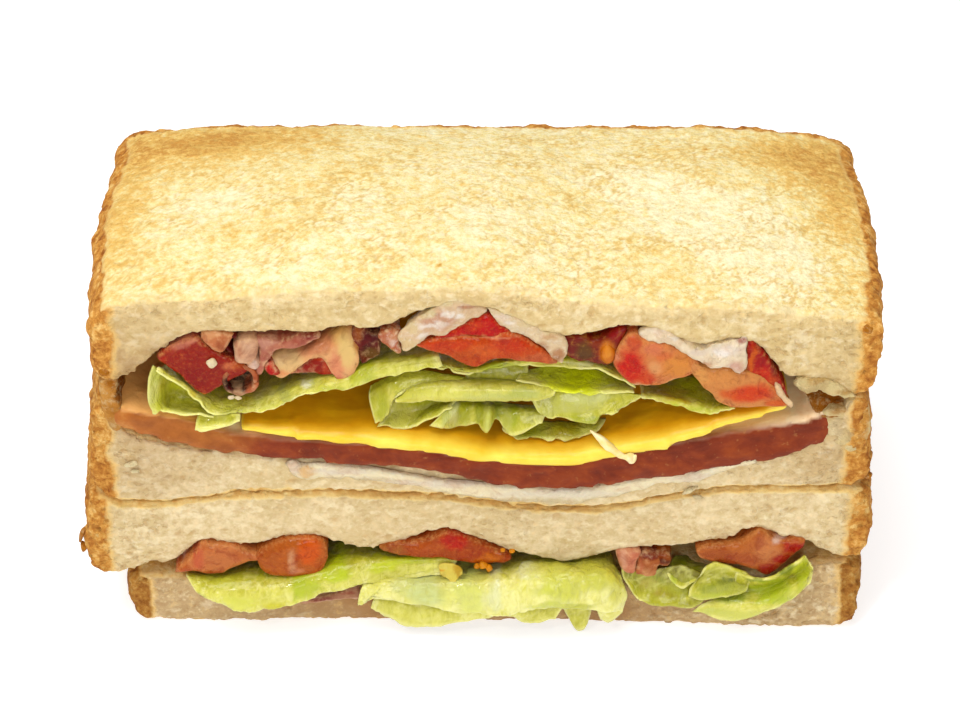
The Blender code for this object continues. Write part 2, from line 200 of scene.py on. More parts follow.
def remeshed(piece, voxel, smoothing):
    """Turns the mesh into even small faces and rounds off its facets."""
    apply_modifier(piece, "REMESH", mode="VOXEL", voxel_size=voxel)
    apply_modifier(piece, "SMOOTH", factor=0.5, iterations=smoothing)


def vertex_array(mesh):
    """Where a mesh's vertices are, a row for each."""
    flat = np.empty(len(mesh.vertices) * 3, np.float32)
    mesh.vertices.foreach_get("co", flat)
    return flat.reshape(-1, 3).astype(float)


def normal_array(mesh):
    """Which way a mesh's surface faces at its vertices, a row for each."""
    flat = np.empty(len(mesh.vertices) * 3, np.float32)
    mesh.vertex_normals.foreach_get("vector", flat)
    return flat.reshape(-1, 3).astype(float)


def move_vertices(mesh, places):
    """Puts a mesh's vertices at these places."""
    mesh.vertices.foreach_set("co", places.astype(np.float32).ravel())
    mesh.update()


def refine(mesh, wanted):
    """Splits the edges of the faces for which wanted(centres, normals) is true."""
    count = len(mesh.polygons)
    centres = np.empty(count * 3, np.float32)
    normals = np.empty(count * 3, np.float32)
    mesh.polygons.foreach_get("center", centres)
    mesh.polygons.foreach_get("normal", normals)
    chosen = wanted(centres.reshape(-1, 3), normals.reshape(-1, 3))
    work = bmesh.new()
    work.from_mesh(mesh)
    work.faces.ensure_lookup_table()
    edges = {edge for index in np.nonzero(chosen)[0] for edge in work.faces[index].edges}
    edges = sorted(edges, key=lambda edge: edge.index)
    bmesh.ops.subdivide_edges(work, edges=edges, cuts=1, use_grid_fill=True)
    work.to_mesh(mesh)
    work.free()


def set_attribute(mesh, name, values):
    """Stores one number for each vertex, for the material to read."""
    layer = mesh.attributes.new(name, "FLOAT", "POINT")
    layer.data.foreach_set("value", np.clip(values, 0.0, 1.0).astype(np.float32))


def random_at(cells, seed):
    """A fixed random number from -1 to 1 for each whole-numbered cell."""
    mixed = cells[:, 0] * 73856093 ^ cells[:, 1] * 19349663 ^ cells[:, 2] * 83492791 ^ seed * 2654435761
    mixed = (mixed ^ (mixed >> 13)) * 1274126177
    mixed = (mixed ^ (mixed >> 17)) * 668265263
    mixed ^= mixed >> 15
    return (mixed & 0xFFFFF) / 524287.5 - 1.0


def soft_noise(places, size, seed):
    """Smooth random values from -1 to 1 that change over about size, one number or one for each axis."""
    scaled = places / np.asarray(size)
    whole = np.floor(scaled).astype(np.int64)
    part = scaled - whole
    part = part * part * (3.0 - 2.0 * part)
    total = np.zeros(len(places))
    for corner in itertools.product((0, 1), repeat=3):
        weight = np.prod(np.where(corner, part, 1.0 - part), axis=1)
        total += weight * random_at(whole + np.array(corner), seed)
    return total


def cell_noise(places, size, seed):
    """Distances to the nearest and second nearest of scattered points, in cells, and a number per point."""
    scaled = places / np.asarray(size)
    whole = np.floor(scaled).astype(np.int64)
    nearest = np.full(len(places), 9.0)
    second = np.full(len(places), 9.0)
    value = np.zeros(len(places))
    for offset in itertools.product((-1, 0, 1), repeat=3):
        cells = whole + np.array(offset)
        scatter = np.stack([random_at(cells, seed * 7 + axis) for axis in range(3)], axis=1)
        gap = np.linalg.norm(scaled - (cells + 0.5 + 0.45 * scatter), axis=1)
        closer = gap < nearest
        second = np.where(closer, nearest, np.minimum(second, gap))
        value = np.where(closer, random_at(cells, seed * 7 + 5), value)
        nearest = np.minimum(nearest, gap)
    return nearest, second, value


def ramp(values, start, end):
    """0 at start and 1 at end, smooth between; start may be the greater."""
    part = np.clip((values - start) / (end - start), 0.0, 1.0)
    return part * part * (3.0 - 2.0 * part)


def inside_outline(places):
    """How far each place is inside the slice's outline seen from above, at its sides and back."""
    low, high = places.min(0), places.max(0)
    along = np.linspace(low[1], high[1], 60)
    left = np.array([places[abs(places[:, 1] - y) < 1 * MM, 0].min() for y in along])
    right = np.array([places[abs(places[:, 1] - y) < 1 * MM, 0].max() for y in along])
    kernel = np.ones(5) / 5
    left = np.convolve(np.pad(left, 2, mode="edge"), kernel, "valid")
    right = np.convolve(np.pad(right, 2, mode="edge"), kernel, "valid")
    from_left = places[:, 0] - np.interp(places[:, 1], along, left)
    from_right = np.interp(places[:, 1], along, right) - places[:, 0]
    return np.minimum(np.minimum(from_left, from_right), high[1] - BACK_ROUNDING - places[:, 1])


BREAD_VOXEL = 0.7 * MM
TOP_VOXEL = 0.79 * MM
BREAD_SMOOTHING = 8
CRUST_DEPTH = 1.5 * MM  # solid crust
CRUST_FADE = 3.4 * MM  # where its brown ends in the crumb
BACK_ROUNDING = 2.2 * MM  # of the crust over the back edge
CRUMB_FLECK = (0.86, 0.74, 0.46, 1)
CRUMB_FLAKE = (0.90, 0.77, 0.50, 1)
# Crumb soaked with juice, also used as painted shade at the ends of the upper slices.
SOAK_AND_SHADE_CRUMB = (0.36, 0.19, 0.075, 1)
BARE_FACE = (0.98, 0.95, 0.64, 1)
FACE_CREASE = (0.70, 0.43, 0.11, 1)
GOLDEN_RIM = (0.78, 0.50, 0.16, 1)
# The crust's pits: their own deeper brown, with painted shade.
CRUST_PIT_SHADE = (0.20, 0.062, 0.010, 1)
CRUST_BROWNS = (
    (0.36, (0.25, 0.070, 0.010)),
    (0.45, (0.46, 0.170, 0.026)),
    (0.53, (0.66, 0.31, 0.060)),
    (0.64, (0.90, 0.60, 0.21)),
)
SEAR_BROWNS = ((0.3, (0.86, 0.68, 0.32)), (0.6, (0.76, 0.52, 0.19)), (0.95, (0.54, 0.30, 0.08)))
PORE_STRETCH = (0.85, 1.0, 1.15)  # the crumb's pores lean and are a little longer than high
PORE_TILT = 0.5
PORE_DEPTH = 0.2  # millimetres
SEAR_WIDTH = 1.3 * MM  # of a toasted face's brown line at the cut
SEAR_CORE = 0.2 * MM


def noise_value(tree, scale, detail=4.0, roughness=0.6, distortion=0.0, stretch=(1, 1, 1), tilt=0.0):
    """Noise in the object's own space, drawn out where stretch is under 1 and leaning by tilt."""
    place = add_node(tree, "TexCoord").outputs["Object"]
    if stretch != (1, 1, 1):
        drawn_out = {"Vector": place, "Scale": stretch, "Rotation": (0.0, tilt, 0.0)}
        place = add_node(tree, "Mapping", drawn_out).outputs["Vector"]
    values = {"Scale": scale, "Detail": detail, "Roughness": roughness, "Distortion": distortion}
    return add_node(tree, "TexNoise", {"Vector": place, **values}).outputs["Fac"]


def shade_levels(tree, value, *stops):
    """A colour ramp over value. Each stop is a position and a colour, or a grey as one number."""
    made = add_node(tree, "ValToRGB", {"Fac": value})
    ends = made.color_ramp.elements
    while len(ends) < len(stops):
        ends.new(0.5)
    for end, (position, shade) in zip(ends, stops):
        end.position = position
        end.color = (*shade[:3], 1) if isinstance(shade, tuple) else (shade, shade, shade, 1)
    return made.outputs["Color"]


def stored_value(tree, name):
    """A number that the mesh stores for each vertex."""
    return add_node(tree, "Attribute", attribute_name=name).outputs["Fac"]


def blended(tree, share, first, second):
    """The first colour, with this share of the second over it."""
    return add_node(tree, "MixRGB", {"Fac": share, "Color1": first, "Color2": second}).outputs["Color"]


def maths(tree, kind, first, second):
    """Two numbers added, subtracted or multiplied."""
    return add_node(tree, "Math", {0: first, 1: second}, operation=kind).outputs[0]


def roughened(tree, value, noise, amount):
    """The value, raised or lowered by noise, whose middle is a half."""
    change = maths(tree, "MULTIPLY", maths(tree, "SUBTRACT", noise, 0.5), amount)
    return maths(tree, "ADD", value, change)


def raise_bumps(tree, shader, height, strength, distance):
    """Fine relief for a shader: its height, its strength as a share and its depth in metres."""
    bump = add_node(tree, "Bump", {"Strength": strength, "Distance": distance, "Height": height})
    tree.links.new(bump.outputs["Normal"], shader.inputs["Normal"])


def bread_material(name, crumb, crumb_shade, toast_pale, toast_gold, crust_tone=1.0):
    """Crumb, toasted face and crust, shared out by what the mesh stores for each vertex."""
    material, tree, shader = new_material(
        name, Roughness=0.85, Specular_IOR_Level=0.12, Subsurface_Weight=0.08, Subsurface_Scale=0.0015,
        Subsurface_Radius=(1.0, 0.6, 0.3),
    )
    fine = noise_value(tree, 1500.0, 4.0)
    grain = noise_value(tree, 620.0, 5.0, 0.65)
    patch = noise_value(tree, 130.0, 4.0)
    holes = noise_value(tree, 1000.0, 3.0, stretch=PORE_STRETCH, tilt=PORE_TILT)
    flakes = noise_value(tree, 640.0, 3.0, 0.5, stretch=PORE_STRETCH, tilt=PORE_TILT)

    # The open crumb: cream, darker in its pores, darker where juice has soaked in, and darker at the ends
    # of the upper slices, which is painted shade.
    # Pores take the crumb's own tan, with painted shade for their depth.
    pore_shade = (crumb[0] * 0.70, crumb[1] * 0.53, crumb[2] * 0.34, 1)
    pore_share = maths(tree, "MULTIPLY", stored_value(tree, "pore"), 0.6)
    hole_share = maths(
        tree, "MULTIPLY", shade_levels(tree, holes, (0.53, 0.0), (0.67, 1.0)), stored_value(tree, "open")
    )
    hole_share = maths(tree, "MULTIPLY", hole_share, shade_levels(tree, patch, (0.38, 0.2), (0.58, 1.0)))
    crumb_layers = (
        (shade_levels(tree, patch, (0.42, 0.0), (0.66, 0.75)), crumb_shade),
        (shade_levels(tree, fine, (0.56, 0.0), (0.72, 0.5)), CRUMB_FLECK),
        (maths(tree, "MULTIPLY", hole_share, 0.7), pore_shade),
        (shade_levels(tree, flakes, (0.54, 0.0), (0.68, 0.5)), CRUMB_FLAKE),
        (pore_share, pore_shade),
        (stored_value(tree, "damp"), SOAK_AND_SHADE_CRUMB),
    )
    crumb_colour = blended(tree, shade_levels(tree, grain, (0.35, 0.0), (0.66, 1.0)), crumb_shade, crumb)
    for share, layer in crumb_layers:
        crumb_colour = blended(tree, share, crumb_colour, layer)

    # The toasted face, from bare white through gold to brown, with the brown of its creases.
    heat = roughened(tree, stored_value(tree, "toast"), grain, 1.45)
    heat = roughened(tree, heat, patch, 0.30)
    heat = roughened(tree, heat, fine, 0.9)
    toast_light = (min(toast_pale[0] * 1.06, 0.95), toast_pale[1] * 1.13, toast_pale[2] * 1.5)
    toast_brown = (toast_gold[0] * 0.72, toast_gold[1] * 0.52, toast_gold[2] * 0.36)
    face_colour = shade_levels(
        tree, heat, (0.0, toast_light), (0.28, toast_pale), (0.62, toast_gold), (1.0, toast_brown)
    )
    bare_share = shade_levels(tree, maths(tree, "MULTIPLY", heat, -1.0), (0.0, 0.0), (0.35, 0.9))
    face_colour = blended(tree, bare_share, face_colour, BARE_FACE)
    crease_share = maths(
        tree, "MULTIPLY", stored_value(tree, "crease"), shade_levels(tree, patch, (0.40, 0.1), (0.58, 0.85))
    )
    face_colour = blended(tree, crease_share, face_colour, FACE_CREASE)

    # The crust, from dark to golden brown, darkest in its pits, where painted shade deepens their own
    # brown.
    bake = maths(tree, "ADD", maths(tree, "MULTIPLY", grain, 0.5), maths(tree, "MULTIPLY", patch, 0.25))
    bake = maths(tree, "ADD", bake, maths(tree, "MULTIPLY", fine, 0.25))
    browns = [(at, tuple(crust_tone * part for part in brown)) for at, brown in CRUST_BROWNS]
    crust_colour = blended(tree, pore_share, shade_levels(tree, bake, *browns), CRUST_PIT_SHADE)

    # The brown line of a toasted face at the cut, and then all of them, one over the other.
    seared = roughened(tree, stored_value(tree, "sear"), grain, 0.7)
    sear_colour = shade_levels(tree, seared, *SEAR_BROWNS)
    sear_share = shade_levels(tree, seared, (0.22, 0.0), (0.5, 1.0))
    rough_edge = roughened(tree, stored_value(tree, "crust"), grain, 1.1)
    colour = blended(tree, sear_share, crumb_colour, sear_colour)
    colour = blended(tree, stored_value(tree, "face"), colour, face_colour)
    colour = blended(tree, shade_levels(tree, rough_edge, (0.05, 0.0), (0.5, 0.85)), colour, GOLDEN_RIM)
    colour = blended(tree, shade_levels(tree, rough_edge, (0.42, 0.0), (0.72, 1.0)), colour, crust_colour)
    tree.links.new(colour, shader.inputs["Base Color"])

    rough = add_node(tree, "MapRange", {"Value": grain, "To Min": 0.72, "To Max": 0.98}).outputs[0]
    tree.links.new(rough, shader.inputs["Roughness"])
    relief = maths(tree, "ADD", maths(tree, "MULTIPLY", fine, 0.6), grain)
    relief = maths(tree, "SUBTRACT", relief, maths(tree, "MULTIPLY", hole_share, 0.8))
    raise_bumps(tree, shader, relief, 0.7, 0.0006)
    return material


def open_crumb(places, seed):
    """How far the torn crumb stands out, in millimetres, and how deep in a pore each place is."""
    frayed = places + (0.3 * MM * soft_noise(places, 0.8 * MM, seed + 20))[:, None]
    near, _, luck = cell_noise(frayed, (1.0 * MM, 1.2 * MM, 0.75 * MM), seed + 2)
    small = ramp(near, 0.44, 0.2) * (luck > 0.2) * (0.4 + 0.6 * ramp(luck, 0.2, 0.9))
    near, _, luck = cell_noise(frayed, (2.6 * MM, 2.6 * MM, 1.5 * MM), seed + 3)
    large = ramp(near, 0.34, 0.16) * (luck > 0.62)
    torn = 0.11 * soft_noise(places, 0.8 * MM, seed + 4) + 0.24 * soft_noise(places, 2.6 * MM, seed + 5)
    torn += 0.07 * soft_noise(places, 0.45 * MM, seed + 16)
    return torn - PORE_DEPTH * (small + 1.5 * large), np.maximum(0.8 * small, large)


def toasted_face(places, seed):
    """How far the face's pebbles, drawn out front to back, stand out, and the fine creases between them."""
    wander = [0.75 * MM * soft_noise(places, 1.3 * MM, seed + axis) for axis in (6, 7, 8)]
    warped = places + np.stack(wander, axis=1)
    near, second, luck = cell_noise(warped, (1.25 * MM, 2.3 * MM, 1.6 * MM), seed + 9)
    crease = ramp(second - near, 0.16, 0.0)
    move = 0.14 * soft_noise(places, (1.4 * MM, 2.6 * MM, 2 * MM), seed + 10) - 0.12 * crease + 0.05 * luck
    return move + 0.3 * soft_noise(places, 11 * MM, seed + 11), crease


def rough_crust(places, seed):
    """How far the crust's grains and lumps stand out, its pits, and a number for each grain."""
    near, _, luck = cell_noise(places, 1.5 * MM, seed + 12)
    pits = ramp(near, 0.34, 0.1) * (luck > 0.15)
    move = 0.42 * soft_noise(places, 3.2 * MM, seed + 13) + 0.26 * soft_noise(places, 1.2 * MM, seed + 14)
    return move + 0.12 * luck - 0.5 * pits, pits, luck


def cut_edges(places, near_cut, low, high):
    """The heights of the cut's lower and upper edges at each place, read off the mesh every millimetre."""
    found = []
    for start in np.arange(low[0], high[0], 1 * MM):
        column = places[near_cut & (places[:, 0] >= start) & (places[:, 0] < start + 1 * MM), 2]
        if len(column):
            found.append((start + 0.5 * MM, column.min(), column.max()))
    middles, lower, upper = np.array(found).T
    return np.interp(places[:, 0], middles, lower), np.interp(places[:, 0], middles, upper)


def soft_spots(places, low, high, axis, spots):
    """The sum of soft spots on a slice, seen from above (axis 1) or from the front (axis 2).

    A spot is its place, as shares of the slice across and along the axis, its reach both ways in
    millimetres, and its strength.
    """
    total = np.zeros(len(places))
    for across, along, (reach_across, reach_along), strength in spots:
        gap_across = (places[:, 0] - low[0] - across * (high[0] - low[0])) / (reach_across * MM)
        gap_along = (places[:, axis] - low[axis] - along * (high[axis] - low[axis])) / (reach_along * MM)
        total += strength * np.exp(-1.5 * (gap_across**2 + gap_along**2))
    return total


def slice_of_bread(
    node, seed, material, fine_top=False, toast_base=0.5, toast_spots=(), soak_and_shade_spots=(), closed_spots=(),
    sear=(0, 0), droop=0.0, rise=0.0, forward=0.0, square=0.0,
):
    """One half slice: crumb with pores at its cut face, pebbly toasted faces and a rough crust.

    Its soft ends may droop or rise in millimetres, its right end come forward, its back corners be squarer.
    """
    piece = copy_of(node, node + "_baked")
    packed = vertex_array(piece.data)
    low, high = packed.min(0), packed.max(0)
    remeshed(piece, TOP_VOXEL if fine_top else BREAD_VOXEL, BREAD_SMOOTHING)
    mesh = piece.data

    def wanted(centres, normals):
        cut = (centres[:, 1] < low[1] + 3.0 * MM) & (normals[:, 1] < -0.3)
        sides = (abs(normals[:, 0]) > 0.5) & (centres[:, 1] < high[1] - 6 * MM)
        chosen = cut | sides
        if fine_top:
            chosen |= (normals[:, 2] > 0.35) & (centres[:, 1] < high[1] - 1 * MM)
        return chosen

    refine(mesh, wanted)
    places = vertex_array(mesh)
    normals = normal_array(mesh)

    # The set of the slice: its ends, its back corners, and its right end.
    share = (places - low) / (high - low)
    from_middle = abs(share[:, 0] - 0.5)
    at_end = ramp(from_middle, 0.36, 0.49) * MM
    places[:, 2] += at_end * (rise * share[:, 2] - droop * (1 - share[:, 2]))
    at_corner = square * MM * ramp(from_middle, 0.4, 0.5) * ramp(share[:, 1], 0.8, 1.0)
    places[:, 0] += at_corner * np.sign(share[:, 0] - 0.5)
    places[:, 1] += at_corner
    inside = inside_outline(places)
    places[:, 1] -= forward * MM * ramp(share[:, 0], 0.55, 0.97) * ramp(share[:, 2], 0.8, 0.2)

    # Where the cut face, the crust and the toasted faces are.
    ragged = 0.7 * soft_noise(places, 3.5 * MM, seed) + 0.35 * soft_noise(places, 1.2 * MM, seed + 1)
    facing = 0.22 * soft_noise(places, 0.9 * MM, seed + 21) + 0.16 * soft_noise(places, 2.4 * MM, seed + 22)
    cut = ramp(facing - normals[:, 1], 0.3, 0.85) * (places[:, 1] < low[1] + 5 * MM)
    crust = ramp(inside + ragged * MM, CRUST_FADE + 1.6 * MM * cut, CRUST_DEPTH + 0.7 * MM * cut)
    flat = ramp(abs(normals[:, 2]), 0.45, 0.8)

    crumb_move, pores = open_crumb(places, seed)
    face_move, crease = toasted_face(places, seed)
    crust_move, pits, grain_luck = rough_crust(places, seed)
    move = (1 - crust) * (cut * crumb_move + (1 - cut) * flat * face_move) + crust * crust_move
    cut_rim = 4 * cut * (1 - cut) * (normals[:, 1] < -0.15)
    fray = 0.5 * soft_noise(places, 1.3 * MM, seed + 25) + 0.35 * soft_noise(places, 0.7 * MM, seed + 26)
    move += cut_rim * (fray - 0.1)
    move_vertices(mesh, places + normals * (move * MM)[:, None])

    toast = toast_base + 0.16 * soft_noise(places, 9 * MM, seed + 15) + 0.07 * grain_luck
    near, _, luck = cell_noise(places, 7 * MM, seed + 24)
    toast += 0.8 * ramp(near, 0.08, 0.03) * (luck > 0.3)
    toast += soft_spots(places, low, high, 1, toast_spots)
    # Spots of juice soaked into the crumb, and spots of painted shade at its ends.
    damp = soft_spots(places, low, high, 2, soak_and_shade_spots)
    damp *= 1 + 0.4 * soft_noise(places, 2.5 * MM, seed + 17)

    # The crumb is most open near the slice's ends.
    openness = 0.5 + 0.45 * soft_noise(places, (9 * MM, 5 * MM, 2.4 * MM), seed + 18)
    openness += 0.5 * ramp(abs((places[:, 0] - low[0]) / (high[0] - low[0]) - 0.5), 0.22, 0.42)
    openness -= soft_spots(places, low, high, 2, closed_spots)

    # The toasted faces show as brown lines along the cut.
    near_cut = places[:, 1] < low[1] + 3 * MM
    lower_edge, upper_edge = cut_edges(places, near_cut, low, high)
    width = SEAR_WIDTH * (1 + 0.6 * soft_noise(places, 2.2 * MM, seed + 19))
    sear_line = sear[0] * ramp(places[:, 2] - lower_edge, width, SEAR_CORE)
    sear_line += sear[1] * ramp(upper_edge - places[:, 2], width, SEAR_CORE)
    near_front = ramp(places[:, 1], low[1] + 3.4 * MM, low[1] + 0.4 * MM)
    bare = np.clip(near_front * (0.35 + 0.5 * soft_noise(places, 1.6 * MM, seed + 23)), 0.0, 0.8)

    stored = {
        "damp": damp,
        "open": openness * cut,
        "sear": sear_line * near_cut,
        "crust": crust,
        "face": (1 - cut) * flat * (1 - bare),
        "toast": toast,
        "crease": crease * (1 - crust),
        "pore": np.where(crust > 0.5, pits, cut * pores),
    }
    for key, values in stored.items():
        set_attribute(mesh, key, values)
    mesh.shade_smooth()
    mesh.materials.append(material)
    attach(piece, "root")
    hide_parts(node)


top_bread = bread_material(
    "bread_top_slice",
    crumb=(0.82, 0.66, 0.36, 1),
    crumb_shade=(0.62, 0.44, 0.185, 1),
    toast_pale=(0.89, 0.73, 0.33, 1),
    toast_gold=(0.82, 0.52, 0.14, 1),
)
slice_of_bread(
    "bread_upper_top", 11, top_bread, fine_top=True, toast_base=0.22, droop=1.8, square=1.8,
    # The darker spots at both ends of the crumb are painted shade.
    soak_and_shade_spots=((0.05, 0.3, (14, 14), 0.6), (0.95, 0.3, (9, 12), 0.16)),
    toast_spots=(
        (0.12, 0.80, (14, 9), 0.62),
        (0.22, 0.84, (18, 8), 0.34),
        (0.03, 0.5, (7, 40), 0.35),
        (0.93, 0.80, (12, 12), 0.50),
        (0.98, 0.4, (9, 34), 0.34),
        (0.70, 0.58, (9, 8), -0.36),
        (0.665, 0.51, (2.4, 3.2), -0.5),
        (0.652, 0.58, (1.6, 1.6), 0.4),
        (0.77, 0.42, (9, 8), -0.85),
        (0.83, 0.28, (8, 7), -0.85),
        (0.86, 0.18, (7, 6), -0.6),
    ),
)
inner_bread = bread_material(
    "bread_inner_slices",
    crumb=(0.82, 0.67, 0.415, 1),
    crumb_shade=(0.62, 0.455, 0.215, 1),
    toast_pale=(0.84, 0.66, 0.30, 1),
    toast_gold=(0.74, 0.45, 0.14, 1),
    crust_tone=0.92,
)
slice_of_bread(
    "bread_upper_bottom", 37, inner_bread, sear=(0.75, 0.0), rise=1.3,
    # The darker spots at both ends of the crumb are painted shade.
    soak_and_shade_spots=((0.08, 0.5, (13, 14), 0.36), (0.93, 0.5, (13, 14), 0.3)),
    closed_spots=((0.5, 0.1, (34, 12), 1.2), (0.3, 0.2, (16, 9), 0.8)),
)
slice_of_bread("bread_lower_top", 53, inner_bread, sear=(0.0, 0.7))
# The bottom slice is a darker copy of the inner slices' bread, crumb, toast and crust alike: painted shade.
shaded_bottom_bread = bread_material(
    "bread_bottom_slice_shaded",
    crumb=(0.64, 0.47, 0.25, 1),
    crumb_shade=(0.46, 0.30, 0.14, 1),
    toast_pale=(0.78, 0.58, 0.26, 1),
    toast_gold=(0.66, 0.38, 0.12, 1),
    crust_tone=0.64,
)
slice_of_bread(
    "bread_lower_bottom", 71, shaded_bottom_bread, forward=1.7,
    # The darker spots across the middle of the crumb are juice soaked in.
    soak_and_shade_spots=((0.36, 0.3, (24, 9), 0.95), (0.62, 0.2, (18, 8), 0.85), (0.2, 0.7, (9, 4), 0.4)),
    closed_spots=((0.3, 0.4, (30, 12), 1.0),),
)


# ---- Ham
# A thick slab of cooked ham, red-brown on its cut front, and a thin strip of it in the lower half. It is
# close-grained meat with faint upright fibres, wet and slightly shiny, and pinker on top than in front. At
# its left end its top is painted orange-brown as shade.


def finish_piece(piece, material, slot=None, *nodes):
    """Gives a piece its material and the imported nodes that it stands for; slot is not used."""
    piece.data.materials.clear()
    piece.data.materials.append(material)
    piece.data.shade_smooth()
    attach(piece, "root")
    if nodes:
        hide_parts(*nodes)


ham_meat, tree, shader = new_material(
    "ham_meat", Roughness=0.45, Specular_IOR_Level=0.1, Subsurface_Weight=0.04, Subsurface_Scale=0.0015,
    Subsurface_Radius=(1.0, 0.35, 0.2), Coat_Weight=0.1, Coat_Roughness=0.1,
)
fibres = noise_value(tree, 420.0, 5.0, 0.6, 0.4, (0.5, 1.0, 0.9))
mottle = noise_value(tree, 260.0, 4.0)
fleck = noise_value(tree, 1100.0, 3.0)
fleck_share = shade_levels(tree, fleck, (0.62, 0.0), (0.78, 0.35))
grain = maths(tree, "ADD", maths(tree, "MULTIPLY", fibres, 0.6), maths(tree, "MULTIPLY", mottle, 0.4))
browned = shade_levels(
    tree,
    grain,
    (0.34, (0.13, 0.014, 0.002)),
    (0.49, (0.21, 0.026, 0.003)),
    (0.64, (0.30, 0.050, 0.005)),
    (0.76, (0.46, 0.14, 0.028)),
)
warm_brown = shade_levels(
    tree, mottle, (0.3, (0.28, 0.075, 0.010)), (0.55, (0.42, 0.125, 0.018)), (0.75, (0.54, 0.22, 0.045))
)
pink_top = shade_levels(
    tree, mottle, (0.3, (0.90, 0.56, 0.28)), (0.6, (0.97, 0.78, 0.50)), (0.8, (0.97, 0.90, 0.70))
)
# At the left end the pink top is painted orange-brown: painted shade under the overhanging top slice.
pink_top = blended(tree, stored_value(tree, "browned"), pink_top, (0.86, 0.43, 0.13, 1))
meat = blended(tree, stored_value(tree, "browned"), browned, warm_brown)
meat = blended(tree, stored_value(tree, "top"), meat, pink_top)
meat = blended(tree, fleck_share, meat, (0.58, 0.28, 0.08, 1))
tree.links.new(meat, shader.inputs["Base Color"])
raise_bumps(tree, shader, maths(tree, "ADD", fibres, maths(tree, "MULTIPLY", fleck, 0.4)), 0.45, 0.0004)


HAM_VOXEL = 0.68 * MM
HAM_SEED = 101

ham = copy_of("ham_slab", "ham_slab_cooked")
remeshed(ham, HAM_VOXEL, 4)
places = vertex_array(ham.data)
normals = normal_array(ham.data)
low, high = places.min(0), places.max(0)
move = 0.20 * soft_noise(places, (1.3 * MM, 2 * MM, 4 * MM), HAM_SEED)
move += 0.16 * soft_noise(places, 0.9 * MM, HAM_SEED + 1) + 0.3 * soft_noise(places, 5 * MM, HAM_SEED + 2)

# The right end is cut back at the top and dips; the left end reaches out and thins from below.
cut_back = 0.4 * np.clip(places[:, 2] - high[2] + 4.4 * MM, 0.0, 5 * MM)
cut_back += 0.35 * np.clip(places[:, 1] - low[1] - 1 * MM, 0.0, 8 * MM)
places[:, 0] -= cut_back * ramp(places[:, 0], high[0] - 6 * MM, high[0] - 0.5 * MM)
right_end = ramp(places[:, 0], high[0] - 26 * MM, high[0] - 3 * MM)
places += np.outer(right_end, (1.9 * MM, 0, -1.3 * MM))
left_end = ramp(places[:, 0], low[0] + 16 * MM, low[0] + 1 * MM)
places[:, 0] -= 1.6 * MM * left_end
places[:, 2] += 1.5 * MM * left_end * ramp(places[:, 2], high[2] - 0.5 * MM, high[2] - 4.5 * MM)
move_vertices(ham.data, places + normals * (move * MM)[:, None])

across = (places[:, 0] - low[0]) / (high[0] - low[0])
under_cheese = ramp(abs(across - 0.5), 0.46, 0.4) * ramp(places[:, 1] - low[1], 3.5 * MM, 1.5 * MM)
set_attribute(ham.data, "top", ramp(normals[:, 2], 0.35, 0.8) * (1 - 0.85 * under_cheese))
# The left end: a warmer brown front, and painted shade on its top.
brown_edge = across + 0.05 * soft_noise(places, 4 * MM, HAM_SEED + 3)
set_attribute(ham.data, "browned", ramp(brown_edge, 0.22, 0.1))
finish_piece(ham, ham_meat, "ham", "ham_slab")


# ---- Cheese
# One slice of processed cheese laid on the ham: dense, smooth and evenly yellow, a little melted, so that
# its cut edge is round and glossy, its top is painted a deeper amber as shade from the filling above it,
# and one thread has run off in front.

cheese_body, tree, shader = new_material(
    "cheese_body", Roughness=0.3, Specular_IOR_Level=0.15, Subsurface_Weight=0.2, Subsurface_Scale=0.002,
    Subsurface_Radius=(1.0, 0.6, 0.1), Coat_Weight=0.08, Coat_Roughness=0.12,
)
cloud = noise_value(tree, 170.0, 3.0)
fine_cloud = noise_value(tree, 700.0, 3.0, stretch=(0.4, 1, 1))
edge_yellow = shade_levels(tree, cloud, (0.3, (0.88, 0.56, 0.03)), (0.7, (0.95, 0.74, 0.10)))
# The top's deeper amber is painted shade.
shaded_amber_top = shade_levels(tree, cloud, (0.3, (0.70, 0.29, 0.004)), (0.7, (0.86, 0.43, 0.008)))
cheese_colour = blended(tree, stored_value(tree, "top"), edge_yellow, shaded_amber_top)
tree.links.new(cheese_colour, shader.inputs["Base Color"])
raise_bumps(tree, shader, fine_cloud, 0.25, 0.0003)

CHEESE_VOXEL = 0.7 * MM
LIP_HANG = (0, -0.95, -0.5)  # millimetres that the melted lip comes forward and down

cheese = copy_of("cheese_slice", "cheese_slice_melted")
remeshed(cheese, CHEESE_VOXEL, 6)
places = vertex_array(cheese.data)
normals = normal_array(cheese.data)
front = places[:, 1].min()
sag = 0.22 * soft_noise(places, 3.4 * MM, 131) + 0.12 * soft_noise(places, 1.4 * MM, 132)
swell = 0.25 * ramp(places[:, 1], front + 1.6 * MM, front + 0.3 * MM)
lip = ramp(places[:, 1], front + 2.4 * MM, front + 0.2 * MM)
hang = np.outer(lip, LIP_HANG)
move_vertices(cheese.data, places + (normals * (sag + swell)[:, None] + hang) * MM)
behind_lip = ramp(places[:, 1], front + 0.2 * MM, front + 2.2 * MM)
# Behind the lip, the top takes the painted shade.
set_attribute(cheese.data, "top", ramp(normals[:, 2], 0.5, 0.9) * behind_lip)
finish_piece(cheese, cheese_body, "cheese", "cheese_slice")


